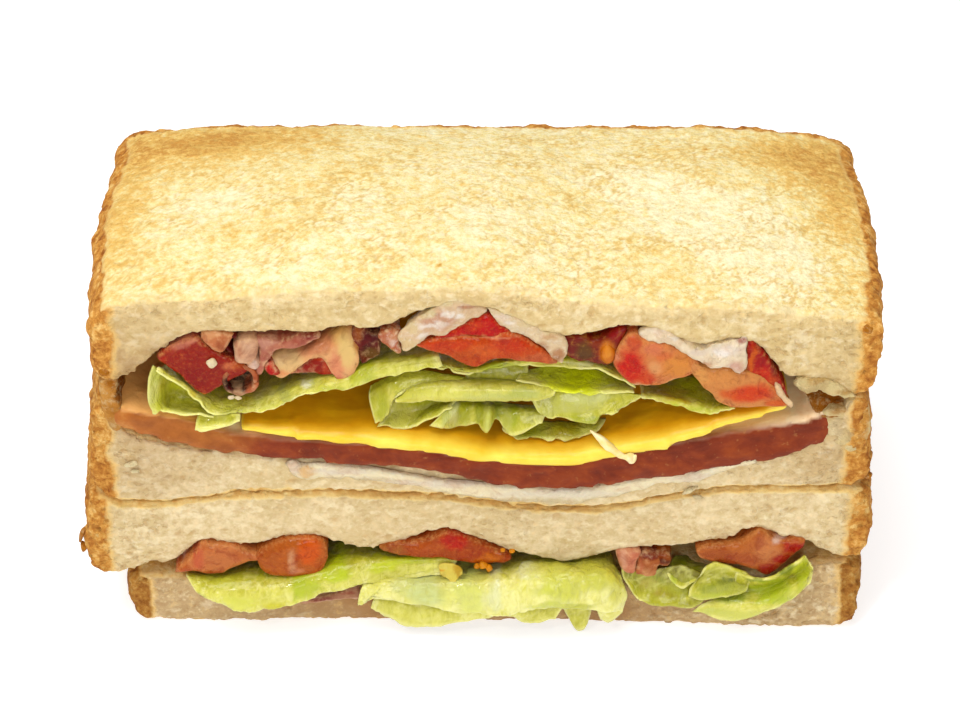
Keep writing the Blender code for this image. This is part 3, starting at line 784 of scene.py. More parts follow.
def smooth_line(points, count):
    """Points on a smooth line through the given rows of numbers, count of them."""
    points = np.asarray(points, float)
    ends = 2 * points[:1] - points[1:2], 2 * points[-1:] - points[-2:-1]
    points = np.concatenate([ends[0], points, ends[1]])
    at = np.linspace(1, len(points) - 2 - 1e-9, count)
    start = at.astype(int)
    part = (at - start).reshape(-1, *[1] * (points.ndim - 1))
    a, b, c, d = points[start - 1], points[start], points[start + 1], points[start + 2]
    return 0.5 * (
        2 * b + (c - a) * part + (2 * a - 5 * b + 4 * c - d) * part**2 + (3 * b - a - 3 * c + d) * part**3
    )


def closed_piece(name, places, faces):
    """A new object of these places and faces, its faces all turned outwards."""
    mesh = bpy.data.meshes.new(name)
    mesh.from_pydata([tuple(place) for place in places], [], faces)
    mesh.update()
    work = bmesh.new()
    work.from_mesh(mesh)
    bmesh.ops.recalc_face_normals(work, faces=work.faces)
    work.to_mesh(mesh)
    work.free()
    piece = bpy.data.objects.new(name, mesh)
    scene.collection.objects.link(piece)
    return piece


def joined_rings(name, rings):
    """A new object whose skin runs from ring to ring of points and closes over the first and the last."""
    steps, around = rings.shape[:2]
    faces = [
        (row + k, row + (k + 1) % around, row + around + (k + 1) % around, row + around + k)
        for row in range(0, (steps - 1) * around, around)
        for k in range(around)
    ]
    faces.append(tuple(reversed(range(around))))
    faces.append(tuple(range((steps - 1) * around, steps * around)))
    return closed_piece(name, rings.reshape(-1, 3), faces)


STRING_SIDES = 14
STRING_ROUGHNESS = 0.12  # of its radius


def string_of(name, corner, line, seed):
    """A closed, uneven string through (x, y, z, radius) points in millimetres from corner."""
    steps = 8 * len(line)
    path = smooth_line(line, steps)
    centres = np.array(corner) + path[:, :3] * MM
    along = np.gradient(centres, axis=0)
    along /= np.linalg.norm(along, axis=1)[:, None]
    side = np.cross(along, (0.0, 1.0, 0.0))
    side /= np.linalg.norm(side, axis=1)[:, None] + 1e-9
    up = np.cross(side, along)
    turn = np.linspace(0, 2 * math.pi, STRING_SIDES, endpoint=False)
    ring = np.cos(turn)[None, :, None] * side[:, None] + np.sin(turn)[None, :, None] * up[:, None]
    taper = np.sqrt(np.clip(np.sin(np.linspace(0.04, math.pi - 0.04, steps)) * 2.2, 0.1, 1.0))
    radius = path[:, 3] * MM * taper
    places = (centres[:, None] + ring * radius[:, None, None]).reshape(-1, 3)
    lumps = 3 * soft_noise(places, 1.1 * MM, seed) + soft_noise(places, 0.5 * MM, seed + 1)
    lumps *= STRING_ROUGHNESS * np.repeat(radius, STRING_SIDES)
    places += ring.reshape(-1, 3) * lumps[:, None]
    return joined_rings(name, places.reshape(steps, STRING_SIDES, 3))


cheese_thread = string_of(
    "cheese_thread",
    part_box("cheese_slice")[0],
    [
        (51.8, 1, 4.9, 0.4),
        (53, 0.2, 4.2, 0.55),
        (54.3, -0.6, 3.4, 0.6),
        (55.6, -1, 2.3, 0.5),
        (56.7, -1.2, 1.7, 0.45),
        (57.4, -1.3, 1.6, 0.75),
        (58, -1.3, 1.2, 0.7),
        (58.6, -1.3, 2, 0.4),
    ],
    141,
)
thread_tone, tree, shader = new_material(
    "cheese_thread", Roughness=0.3, Specular_IOR_Level=0.3, Coat_Weight=0.3, Coat_Roughness=0.08,
)
cloud = noise_value(tree, 500.0, 3.0)
thread_colour = shade_levels(tree, cloud, (0.3, (0.86, 0.64, 0.20)), (0.7, (0.93, 0.80, 0.50)))
tree.links.new(thread_colour, shader.inputs["Base Color"])
raise_bumps(tree, shader, noise_value(tree, 900.0, 3.0), 0.25, 0.0002)
finish_piece(cheese_thread, thread_tone, "cheese")


# ---- Lettuce
# Crisp iceberg leaves, a third to half a millimetre thick, folded and crumpled between the slices. They
# are pale at their ribs and torn rims and deeper green inside the folds, partly their own green and partly
# painted shade, and wet, so they shine. Painted highlights and painted shade lie on them in patches.


def painted_colour(tree):
    """The colour that is painted on a mesh, stored for each vertex as three numbers."""
    parts = {part: stored_value(tree, "tint_" + part.lower()) for part in ("Red", "Green", "Blue")}
    return add_node(tree, "CombineColor", parts).outputs["Color"]


lettuce_leaf, tree, shader = new_material(
    "lettuce_leaf", Roughness=0.32, Specular_IOR_Level=0.2, Subsurface_Weight=0.2, Subsurface_Scale=0.0012,
    Subsurface_Radius=(0.9, 1.0, 0.1), Coat_Weight=0.35, Coat_Roughness=0.1,
)
patchy = noise_value(tree, 210.0, 4.0)
streaks = noise_value(tree, 900.0, 4.0, 0.6, 0.8, (1.0, 1.0, 0.4))
# The green number: the leaf's own green, deepened by painted shade inside the folds.
green = roughened(tree, stored_value(tree, "green"), patchy, 0.5)
green = roughened(tree, green, streaks, 0.8)
leaf_colour = shade_levels(
    tree,
    green,
    (0.0, (0.80, 0.76, 0.27)),
    (0.22, (0.66, 0.62, 0.10)),
    (0.45, (0.48, 0.45, 0.028)),
    (0.70, (0.32, 0.31, 0.008)),
    (1.0, (0.17, 0.145, 0.003)),
)
for key, share, pale in (("vein", 0.4, (0.78, 0.74, 0.22, 1)), ("rim", 0.75, (0.84, 0.80, 0.28, 1))):
    pale_share = maths(tree, "MULTIPLY", stored_value(tree, key), share)
    leaf_colour = blended(tree, pale_share, leaf_colour, pale)
streak_share = shade_levels(tree, streaks, (0.35, 0.5), (0.6, 0.0))
painted_leaf = blended(tree, streak_share, painted_colour(tree), (0.40, 0.40, 0.02, 1))
# The painted patches: the leaf's own colours, painted highlights, and painted shade in folds and creases.
leaf_colour = blended(tree, stored_value(tree, "tint_share"), leaf_colour, painted_leaf)
tree.links.new(leaf_colour, shader.inputs["Base Color"])
shine = add_node(tree, "MapRange", {"Value": patchy, "To Min": 0.2, "To Max": 0.5}).outputs[0]
tree.links.new(shine, shader.inputs["Roughness"])
raise_bumps(tree, shader, maths(tree, "ADD", streaks, maths(tree, "MULTIPLY", patchy, 0.7)), 0.6, 0.0007)

SHEET_STEP = 0.36 * MM  # between neighbouring points of a crumpled sheet
TENTH = 0.1 * MM


def facing_of(grid):
    """The unit vector that stands on a sheet at each point of its grid."""
    upright = np.cross(np.gradient(grid, axis=1), np.gradient(grid, axis=0))
    return upright / (np.linalg.norm(upright, axis=2)[..., None] + 1e-12)


def sheet_between(name, corner, rows, thickness, seed, crinkle=0.16, ruffle=0.3, ragged=0.35):
    """A closed crumpled sheet through rows of points, in tenths of a millimetre, the last row its free rim.

    Returns the piece, and for each vertex its shares across and down the sheet, its distance from the
    nearest edge and how much of a vein it is.
    """
    net = np.array(corner) + np.array(rows, float) * TENTH
    width = np.linalg.norm(np.diff(net, axis=1), axis=2).sum(1).max()
    height = np.linalg.norm(np.diff(net, axis=0), axis=2).sum(0).max()
    count_across = max(8, int(width / SHEET_STEP))
    count_down = max(6, int(height / SHEET_STEP))
    grid = smooth_line(np.swapaxes(net, 0, 1), count_across)
    grid = smooth_line(np.swapaxes(grid, 0, 1), count_down)
    across = np.linspace(0, 1, count_across)[None, :].repeat(count_down, 0)
    down = np.linspace(0, 1, count_down)[:, None].repeat(count_across, 1)
    flat = grid.reshape(-1, 3)

    # The torn rim: the last rows are drawn in or out.
    pull = soft_noise(flat, 1.5 * MM, seed) + 0.5 * soft_noise(flat, 0.6 * MM, seed + 1)
    pull = pull.reshape(across.shape)
    down_way = np.gradient(grid, axis=0)
    down_way /= np.linalg.norm(down_way, axis=2)[..., None] + 1e-12
    grid = grid + down_way * (ragged * MM * pull * down**4)[..., None]

    # Its veins, fine ridges and waves.
    flat = grid.reshape(-1, 3)
    waves = soft_noise(flat, 2.4 * MM, seed + 2) + 0.5 * soft_noise(flat, 1.1 * MM, seed + 3)
    near, second, _ = cell_noise(flat, 2.1 * MM, seed + 4)
    vein = ramp(second - near, 0.14, 0.0)
    waves += 0.35 * vein
    on_leaf = np.stack([(across * width).ravel(), (down * height).ravel(), np.zeros(across.size)], axis=1)
    on_leaf[:, 0] += 0.3 * on_leaf[:, 1] + 0.8 * MM * soft_noise(flat, 3 * MM, seed + 6)
    ridges = soft_noise(on_leaf, (0.75 * MM, 5 * MM, 1 * MM), seed + 7)
    waves += 0.3 * ridges + 0.5 * ramp(abs(ridges), 0.14, 0.0)
    vein = np.maximum(vein, 0.8 * ramp(abs(ridges), 0.12, 0.0))
    frill = soft_noise(flat, 2.2 * MM, seed + 5).reshape(across.shape)
    waves = crinkle * waves.reshape(across.shape) + ruffle * down**2 * frill
    grid = grid + facing_of(grid) * (waves * MM)[..., None]

    # Its two skins, closer together at the edges.
    edge = np.minimum(np.minimum(across * width, (1 - across) * width), (1 - down) * height)
    half = 0.5 * thickness * MM * (0.55 + 0.45 * ramp(edge, 0.0, 0.5 * MM))
    thick = facing_of(grid) * half[..., None]
    skins = np.concatenate([(grid + thick).reshape(-1, 3), (grid - thick).reshape(-1, 3)])
    count = count_across * count_down
    numbers = np.arange(count).reshape(across.shape)
    squares = np.stack([numbers[:-1, :-1], numbers[:-1, 1:], numbers[1:, 1:], numbers[1:, :-1]], axis=2)
    faces = []
    for square in squares.reshape(-1, 4).tolist():
        faces += [tuple(square), tuple(point + count for point in reversed(square))]
    rim = np.concatenate([numbers[0], numbers[1:, -1], numbers[-1, -2::-1], numbers[-2:0:-1, 0]])
    for first, after in zip(rim.tolist(), np.roll(rim, -1).tolist()):
        faces.append((first, first + count, after + count, after))
    stored = [np.tile(part.ravel(), 2) for part in (across, down, edge, vein)]
    return closed_piece(name, skins, faces), stored


PAINT_WANDER = 4.5  # tenths of a millimetre that a patch's edge strays


def paint(mesh, node, base, patches, seed, share_name=None):
    """Stores a colour for each vertex: base, and over it soft patches seen from the front.

    A patch is its place x and z from the node's corner and its reach in both, in tenths of a millimetre,
    its red, green and blue, and its share. share_name stores how much of the mesh the patches cover.
    """
    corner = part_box(node)[0]
    places = vertex_array(mesh)
    across, height = (
        (places[:, axis] - corner[axis]) / TENTH
        + PAINT_WANDER * soft_noise(places, 1.3 * MM, seed + axis)
        + 0.4 * PAINT_WANDER * soft_noise(places, 0.5 * MM, seed + axis)
        for axis in (0, 2)
    )
    tint = np.tile(np.array(base, float), (len(places), 1))
    covered = np.zeros(len(places))
    for x, z, wide, high, *colour, share in patches:
        gap = np.hypot((across - x) / wide, (height - z) / high)
        weight = share * ramp(gap, 1.25, 0.55)
        covered += weight * (1 - covered)
        reach = ramp(gap, 2.0, 1.0) if share_name else weight
        tint += reach[:, None] * (np.array(colour) - tint)
    for part, values in zip(("red", "green", "blue"), tint.T):
        set_attribute(mesh, "tint_" + part, values)
    if share_name:
        set_attribute(mesh, share_name, covered)


LEAF_THICKNESS = 0.42
LEAF_GREEN = (0.5, 0.47, 0.05)


def leaf(node, name, seed, green_and_shade_rows, rows, patches=(), thickness=LEAF_THICKNESS, **shape):
    """One sheet of a leaf, green at each row as given, 0 pale to 1 dark, the dark partly painted shade."""
    piece, (_, down, edge, vein) = sheet_between(name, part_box(node)[0], rows, thickness, seed, **shape)
    mesh = piece.data
    places = vertex_array(mesh)
    green = np.interp(down, np.linspace(0, 1, len(green_and_shade_rows)), green_and_shade_rows)
    green += 0.10 * soft_noise(places, 3.5 * MM, seed + 8)
    set_attribute(mesh, "green", green)
    set_attribute(mesh, "vein", vein * ramp(edge, 0.0, 1.5 * MM))
    set_attribute(mesh, "rim", ramp(edge, 0.75 * MM, 0.15 * MM))
    paint(mesh, node, LEAF_GREEN, patches, seed, share_name="tint_share")
    return piece


def joined(name, *pieces):
    """Makes one piece of several."""
    bpy.ops.object.select_all(action="DESELECT")
    for piece in pieces:
        piece.select_set(True)
    bpy.context.view_layer.objects.active = pieces[0]
    if len(pieces) > 1:
        bpy.ops.object.join()
    pieces[0].name = name
    return pieces[0]


def leaves(node, *pieces):
    """Joins a leaf's sheets into one piece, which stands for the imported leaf."""
    finish_piece(joined(node + "_leaf", *pieces), lettuce_leaf, "lettuce", node)


# In the leaves below, the palest patches are painted highlights and the darkest are painted shade.
leaves(
    "lettuce_upper_left",
    leaf("lettuce_upper_left", "upper_left_outer", 201, (0.7, 0.42, 0.34, 0.22), [
        [(43, 132, 31), (99, 132, 12), (126, 132, 4), (162, 132, 8), (199, 132, 19), (263, 132, 43),
         (305, 132, 54), (347, 132, 66), (434, 132, 73)],
        [(35, 37, 81), (89, 37, 37), (115, 37, 22), (155, 37, 26), (193, 37, 37), (256, 37, 64),
         (303, 37, 77), (345, 37, 93), (439, 37, 108)],
        [(31, 12, 100), (87, 12, 45), (112, 12, 22), (154, 12, 24), (193, 12, 33), (254, 12, 64),
         (304, 12, 75), (344, 14, 89), (442, 22, 107)],
        [(30, 6, 101), (85, 2, 45), (109, 2, 19), (154, 3, 18), (193, 4, 25), (250, 4, 57), (302, 6, 63),
         (342, 10, 75), (445, 18, 99)],
    ], [
        (246, 76, 24, 10, 0.74, 0.71, 0.44, 0.75), (270, 82, 10, 5, 0.8, 0.79, 0.59, 0.65),
        (179, 43, 16, 9, 0.54, 0.58, 0.018, 0.7), (169, 45, 24, 17, 0.36, 0.36, 0.077, 0.8),
        (236, 77, 29, 15, 0.63, 0.63, 0.29, 0.85), (233, 67, 16, 6, 0.79, 0.77, 0.53, 0.9),
        (251, 83, 13, 5, 0.76, 0.74, 0.47, 0.9), (201, 55, 16, 13, 0.53, 0.53, 0.17, 0.8),
        (192, 67, 4, 30, 0.66, 0.63, 0.25, 0.8), (171, 39, 16, 5, 0.59, 0.58, 0.17, 0.7),
        (281, 61, 21, 10, 0.36, 0.4, 0.002, 0.7), (326, 89, 24, 20, 0.36, 0.39, 0.002, 0.7),
        (367, 117, 24, 13, 0.41, 0.41, 0.002, 0.7), (136, 23, 21, 7, 0.47, 0.47, 0.044, 0.6),
        (82, 58, 13, 5, 0.68, 0.55, 0.064, 0.8), (215, 42, 10, 10, 0.44, 0.44, 0.11, 0.7),
    ]),
    leaf("lettuce_upper_left", "upper_left_pocket", 211, (0.5, 0.62, 0.45, 0.2), [
        [(23, 20, 97), (34, 28, 79), (47, 50, 44), (72, 52, 19), (103, 32, 3)],
        [(16, 10, 77), (30, 24, 58), (42, 52, 23), (71, 54, 4), (105, 26, 4)],
        [(14, 4, 44), (28, 20, 27), (43, 42, 6), (72, 38, 2), (107, 18, 7)],
        [(18, 2, 22), (33, 3, 18), (55, 3, 16), (82, 3, 18), (108, 4, 15)],
    ], [
        (24, 49, 13, 37, 0.63, 0.6, 0.17, 0.85), (32, 86, 13, 13, 0.49, 0.49, 0.077, 0.7),
        (58, 33, 24, 13, 0.59, 0.59, 0.027, 0.85), (56, 55, 18, 13, 0.53, 0.44, 0.013, 0.85),
    ]),
    leaf("lettuce_upper_left", "upper_left_sliver", 221, (0.3, 0.55, 0.2), [
        [(83, 16, 5), (101, 14, 10), (125, 10, 14), (147, 4, 17)],
        [(81, 6, 2), (100, 7, 1), (126, 3, 8), (147, -1, 15)],
        [(80, -7, -3), (96, -7, -5), (123, -7, 1), (147, -6, 12)],
    ], crinkle=0.1),
)
leaves(
    "lettuce_upper_fold",
    leaf("lettuce_upper_fold", "upper_lid", 231, (0.8, 0.5, 0.25), [
        [(75, 115, 48), (113, 115, 40), (157, 115, 34), (202, 115, 38), (292, 115, 52), (345, 115, 44),
         (393, 115, 21)],
        [(79, 25, 90), (115, 25, 74), (158, 25, 67), (199, 25, 80), (290, 25, 88), (341, 25, 74),
         (392, 25, 40)],
        [(80, 15, 92), (114, 13, 73), (159, 11, 65), (199, 11, 78), (285, 5, 83), (341, 5, 76),
         (395, 9, 38)],
    ], [
        (174, 79, 31, 9, 0.53, 0.47, 0.087, 0.85), (208, 73, 37, 9, 0.34, 0.4, 0.002, 0.85),
        (91, 89, 31, 17, 0.44, 0.4, 0.013, 0.7), (317, 83, 37, 6, 0.66, 0.62, 0.25, 0.9),
        (268, 79, 26, 5, 0.53, 0.49, 0.044, 0.7),
    ]),
    leaf("lettuce_upper_fold", "upper_inner", 246, (0.6, 0.55, 0.5), [
        [(144, 45, 62), (174, 45, 62), (203, 45, 66), (236, 45, 58)],
        [(144, 31, 51), (174, 31, 49), (203, 31, 51), (236, 31, 47)],
        [(144, 25, 25), (174, 23, 27), (203, 23, 27), (236, 25, 23)],
    ]),
    leaf("lettuce_upper_fold", "upper_pocket", 241, (0.5, 0.35, 0.25), [
        [(224, 35, 47), (262, 60, 36), (306, 70, 30), (346, 60, 27), (393, 35, 21)],
        [(221, 19, 53), (261, 35, 38), (306, 41, 29), (346, 35, 28), (392, 19, 28)],
        [(218, 7, 57), (260, 4, 44), (305, 2, 34), (344, 2, 33), (392, 5, 32)],
    ], [
        (294, 38, 50, 20, 0.83, 0.87, 0.002, 0.95), (319, 25, 39, 9, 0.8, 0.87, 0.002, 0.9),
        (257, 31, 21, 9, 0.79, 0.83, 0.044, 0.9),
    ]),
    leaf("lettuce_upper_fold", "upper_curl", 251, (0.6, 0.55, 0.5, 0.3), [
        [(4, 19, 34), (25, 21, 47), (62, 23, 59), (106, 23, 55), (150, 21, 44)],
        [(1, 5, 26), (22, 5, 41), (53, 9, 55), (106, 15, 54), (150, 15, 45)],
        [(6, -3, 4), (25, -4, 24), (45, -1, 41), (83, 7, 49), (150, 11, 42)],
        [(11, -5, -19), (31, -8, 6), (37, -7, 29), (65, 1, 45), (150, 7, 40)],
    ], [
        (23, 32, 16, 37, 0.44, 0.38, 0.021, 0.8), (34, 13, 4, 37, 0.66, 0.59, 0.11, 0.9),
        (47, 57, 24, 10, 0.52, 0.49, 0.044, 0.8), (20, 7, 8, 20, 0.36, 0.36, 0.002, 0.8),
    ]),
    leaf("lettuce_upper_fold", "upper_band", 261, (0.4, 0.28, 0.25, 0.15), [
        [(43, 7, 21), (69, 15, 43), (128, 19, 47), (239, 17, 43), (277, 11, 38)],
        [(40, -3, 25), (71, -1, 46), (128, -1, 52), (238, 1, 45), (277, 5, 38)],
        [(40, -5, 25), (73, -7, 36), (130, -9, 40), (236, -5, 35), (275, 1, 35)],
        [(41, -1, 20), (74, -2, 22), (130, -3, 25), (233, -1, 22), (274, 3, 28)],
    ], [
        (69, 42, 29, 17, 0.53, 0.49, 0.052, 0.8), (135, 32, 42, 13, 0.66, 0.62, 0.11, 0.8),
        (208, 32, 52, 13, 0.53, 0.53, 0.14, 0.85), (232, 39, 24, 8, 0.44, 0.46, 0.11, 0.8),
    ], crinkle=0.08, ruffle=0.1),
)
leaves(
    "lettuce_upper_frill",
    leaf("lettuce_upper_frill", "upper_right_lobe", 271, (0.5, 0.45, 0.45, 0.4), [
        [(219, -3, 88), (241, -3, 84), (266, -5, 84), (319, -9, 85), (342, -9, 85), (366, -9, 83),
         (387, -9, 79)],
        [(222, -13, 73), (242, -13, 69), (266, -15, 69), (318, -15, 69), (337, -13, 69), (357, -13, 73),
         (381, -12, 76)],
        [(228, -19, 61), (247, -21, 55), (266, -19, 53), (310, -19, 55), (329, -21, 59), (347, -17, 61),
         (369, -15, 71)],
        [(234, -21, 55), (251, -25, 46), (268, -20, 46), (311, -27, 38), (321, -19, 49), (340, -25, 54),
         (355, -15, 61)],
    ], [
        (274, 68, 50, 17, 0.46, 0.44, 0.087, 0.85), (310, 80, 31, 9, 0.58, 0.58, 0.21, 0.8),
        (249, 61, 24, 9, 0.49, 0.47, 0.11, 0.7), (299, 45, 31, 7, 0.32, 0.34, 0.002, 0.8),
        (323, 48, 10, 5, 0.25, 0.29, 0.002, 0.8),
    ]),
    leaf("lettuce_upper_frill", "upper_hollow", 281, (0.85, 0.7, 0.5, 0.3), [
        [(15, 1, 61), (68, 7, 62), (95, 3, 64), (112, -3, 67)],
        [(9, -5, 45), (62, 5, 44), (86, -1, 53), (108, -9, 66)],
        [(-3, -19, 36), (43, -13, 32), (70, -15, 48), (104, -15, 65)],
        [(-6, -23, 33), (35, -24, 25), (65, -23, 41), (104, -19, 65)],
    ], [
        (41, 55, 31, 17, 0.41, 0.37, 0.013, 0.8), (66, 61, 26, 9, 0.36, 0.36, 0.002, 0.7),
        (29, 36, 21, 7, 0.53, 0.47, 0.064, 0.8), (78, 74, 16, 5, 0.25, 0.22, 0.002, 0.7),
    ]),
    leaf("lettuce_upper_frill", "upper_pleats", 291, (0.7, 0.6, 0.45, 0.3), [
        [(100, 11, 57), (112, 9, 59), (124, 13, 53), (146, 11, 53), (158, 9, 53), (172, 13, 47),
         (204, 11, 43), (246, 9, 39)],
        [(98, -9, 60), (111, -13, 61), (124, -1, 51), (146, -7, 53), (160, -15, 57), (172, -1, 46),
         (204, -9, 48), (244, -7, 45)],
        [(86, -19, 49), (99, -23, 49), (117, -9, 37), (144, -13, 42), (157, -25, 45), (170, -7, 41),
         (197, -19, 36), (240, -15, 40)],
        [(71, -23, 33), (87, -27, 31), (109, -15, 22), (139, -16, 29), (155, -30, 24), (169, -11, 37),
         (194, -26, 16), (237, -21, 35)],
    ], [
        (105, 48, 16, 34, 0.47, 0.48, 0.14, 0.85), (112, 45, 7, 30, 0.59, 0.58, 0.25, 0.8),
        (124, 45, 8, 20, 0.36, 0.36, 0.002, 0.7), (154, 45, 7, 34, 0.53, 0.53, 0.11, 0.85),
        (144, 48, 4, 30, 0.29, 0.31, 0.002, 0.8), (188, 48, 16, 27, 0.33, 0.37, 0.002, 0.8),
        (183, 32, 5, 20, 0.47, 0.47, 0.087, 0.7), (169, 45, 4, 27, 0.17, 0.21, 0.002, 0.7),
    ], crinkle=0.08, ruffle=0.1),
    leaf("lettuce_upper_frill", "upper_shreds", 301, (0.5, 0.45, 0.4), [
        [(184, 13, 16), (211, 11, 14), (276, 11, 10), (333, 11, 18)],
        [(181, 1, 13), (208, -5, 8), (279, -7, 10), (328, -3, 20)],
        [(178, -5, 12), (205, -17, 5), (282, -21, 4), (323, -11, 17)],
    ], [
        (238, 13, 37, 10, 0.38, 0.36, 0.027, 0.8), (253, 19, 7, 13, 0.53, 0.49, 0.11, 0.8),
        (277, 10, 21, 9, 0.33, 0.25, 0.002, 0.8), (208, 10, 16, 8, 0.29, 0.29, 0.002, 0.8),
    ], ragged=0.9),
)
leaves(
    "lettuce_upper_right",
    leaf("lettuce_upper_right", "upper_right_pocket", 311, (0.8, 0.65, 0.4, 0.15), [
        [(-9, 36, 25), (22, 61, 12), (77, 71, 14), (101, 61, 1), (123, 32, -2)],
        [(-8, 16, 30), (21, 32, 21), (78, 42, 11), (105, 32, 6), (126, 14, 7)],
        [(-9, 6, 31), (19, 6, 31), (75, 2, 19), (102, 2, 13), (128, 4, 12)],
        [(-7, 3, 28), (19, 1, 27), (76, -5, 9), (104, -5, 8), (132, -2, 13)],
    ], [
        (47, 30, 33, 7, 0.44, 0.27, 0.002, 0.85), (67, 38, 20, 11, 0.41, 0.19, 0.002, 0.85),
        (31, 19, 20, 7, 0.53, 0.47, 0.002, 0.8), (60, 14, 29, 5, 0.41, 0.44, 0.002, 0.8),
        (69, 3, 40, 5, 0.59, 0.62, 0.044, 0.9),
    ]),
)
leaves(
    "lettuce_lower_left",
    leaf("lettuce_lower_left", "lower_left_blade", 321, (0.8, 0.6, 0.34, 0.22, 0.15), [
        [(15, 103, -2), (53, 123, -8), (108, 133, 0), (171, 133, 8), (274, 133, 34), (326, 133, 25),
         (426, 133, 8)],
        [(15, 53, 29), (57, 53, 27), (109, 53, 32), (165, 49, 35), (270, 53, 61), (328, 53, 65),
         (435, 53, 65)],
        [(19, 37, 34), (60, 27, 26), (113, 21, 28), (167, 19, 32), (266, 29, 54), (325, 37, 59),
         (433, 41, 62)],
        [(27, 27, 26), (66, 15, 10), (114, 10, 6), (165, 10, 13), (250, 22, 33), (313, 33, 42),
         (427, 38, 52)],
        [(35, 23, 17), (73, 13, -1), (113, 8, -7), (163, 8, 0), (240, 21, 19), (297, 30, 30),
         (421, 35, 44)],
    ], [
        (272, 105, 28, 15, 0.044, 0.056, 0.002, 0.85), (298, 95, 28, 10, 0.11, 0.13, 0.002, 0.8),
        (279, 79, 47, 10, 0.36, 0.44, 0.002, 0.8), (117, 59, 35, 9, 0.25, 0.17, 0.002, 0.8),
        (70, 38, 31, 15, 0.53, 0.53, 0.027, 0.7), (185, 24, 4, 25, 0.66, 0.62, 0.17, 0.8),
        (201, 32, 24, 20, 0.41, 0.49, 0.002, 0.8), (244, 53, 28, 13, 0.47, 0.56, 0.002, 0.85),
        (99, 6, 31, 13, 0.66, 0.66, 0.087, 0.7), (153, 0, 20, 12, 0.58, 0.53, 0.002, 0.85),
        (355, 69, 43, 8, 0.44, 0.49, 0.002, 0.85), (317, 59, 24, 8, 0.53, 0.58, 0.002, 0.8),
    ]),
)
leaves(
    "lettuce_lower_rib",
    leaf("lettuce_lower_rib", "lower_rib_main", 331, (0.5, 0.28, 0.12, 0.1, 0.1), [
        [(24, 122, 42), (73, 122, 50), (174, 122, 42), (221, 122, 48), (276, 122, 59), (331, 122, 54),
         (380, 112, 64), (395, 92, 61)],
        [(17, 58, 63), (69, 54, 67), (175, 46, 72), (221, 42, 80), (275, 42, 91), (328, 42, 91),
         (381, 46, 91), (403, 56, 65)],
        [(8, 38, 56), (67, 30, 68), (175, 20, 69), (221, 16, 75), (274, 14, 85), (328, 14, 88),
         (386, 20, 86), (412, 38, 56)],
        [(3, 30, 41), (61, 22, 57), (172, 11, 46), (224, 7, 48), (276, 5, 58), (330, 6, 61),
         (385, 12, 54), (416, 30, 39)],
        [(1, 28, 24), (42, 24, 42), (164, 10, 26), (225, 6, 23), (276, 5, 37), (328, 6, 42),
         (380, 12, 26), (410, 28, 13)],
    ], [
        (75, 79, 24, 30, 0.62, 0.6, 0.25, 0.6), (113, 63, 35, 30, 0.58, 0.63, 0.25, 0.85),
        (159, 84, 24, 25, 0.58, 0.53, 0.11, 0.8), (178, 53, 28, 30, 0.68, 0.7, 0.17, 0.7),
        (259, 95, 31, 7, 0.83, 0.83, 0.55, 0.55), (290, 74, 24, 6, 0.8, 0.8, 0.49, 0.5),
        (213, 63, 12, 30, 0.76, 0.76, 0.44, 0.7), (317, 79, 35, 25, 0.59, 0.6, 0.064, 0.8),
        (370, 95, 31, 25, 0.56, 0.55, 0.052, 0.8), (306, 47, 43, 10, 0.53, 0.56, 0.064, 0.8),
        (397, 79, 12, 41, 0.63, 0.59, 0.064, 0.8), (343, 110, 35, 8, 0.44, 0.45, 0.027, 0.8),
        (266, 116, 31, 6, 0.49, 0.49, 0.044, 0.8), (344, 42, 24, 8, 0.47, 0.47, 0.044, 0.8),
    ], thickness=0.6, crinkle=0.28),
    leaf("lettuce_lower_rib", "lower_rib_flap", 341, (0.4, 0.3, 0.2), [
        [(32, 46, 32), (69, 42, 40), (113, 38, 37), (229, 32, 28), (283, 32, 32), (323, 36, 29)],
        [(24, 38, 25), (60, 30, 24), (110, 24, 19), (227, 20, 20), (274, 22, 14), (317, 28, 19)],
        [(21, 36, 14), (47, 29, -1), (105, 22, -14), (226, 20, 8), (255, 22, -5), (306, 26, -5)],
    ]),
    leaf("lettuce_lower_rib", "lower_rib_shred", 351, (0.4, 0.45, 0.3), [
        [(317, 36, 22), (332, 34, 26), (348, 34, 26), (364, 36, 24)],
        [(322, 34, 5), (334, 30, 4), (350, 30, 4), (362, 34, 7)],
        [(335, 32, -19), (341, 30, -28), (351, 30, -30), (358, 32, -19)],
    ]),
    leaf("lettuce_lower_rib", "lower_rib_end", 361, (0.3, 0.2, 0.15), [
        [(369, 28, 36), (382, 28, 32), (396, 32, 28), (407, 36, 29)],
        [(371, 24, 19), (385, 23, 15), (398, 28, 15), (410, 34, 18)],
        [(376, 26, -2), (387, 24, -7), (400, 28, -4), (410, 34, 5)],
    ]),
)
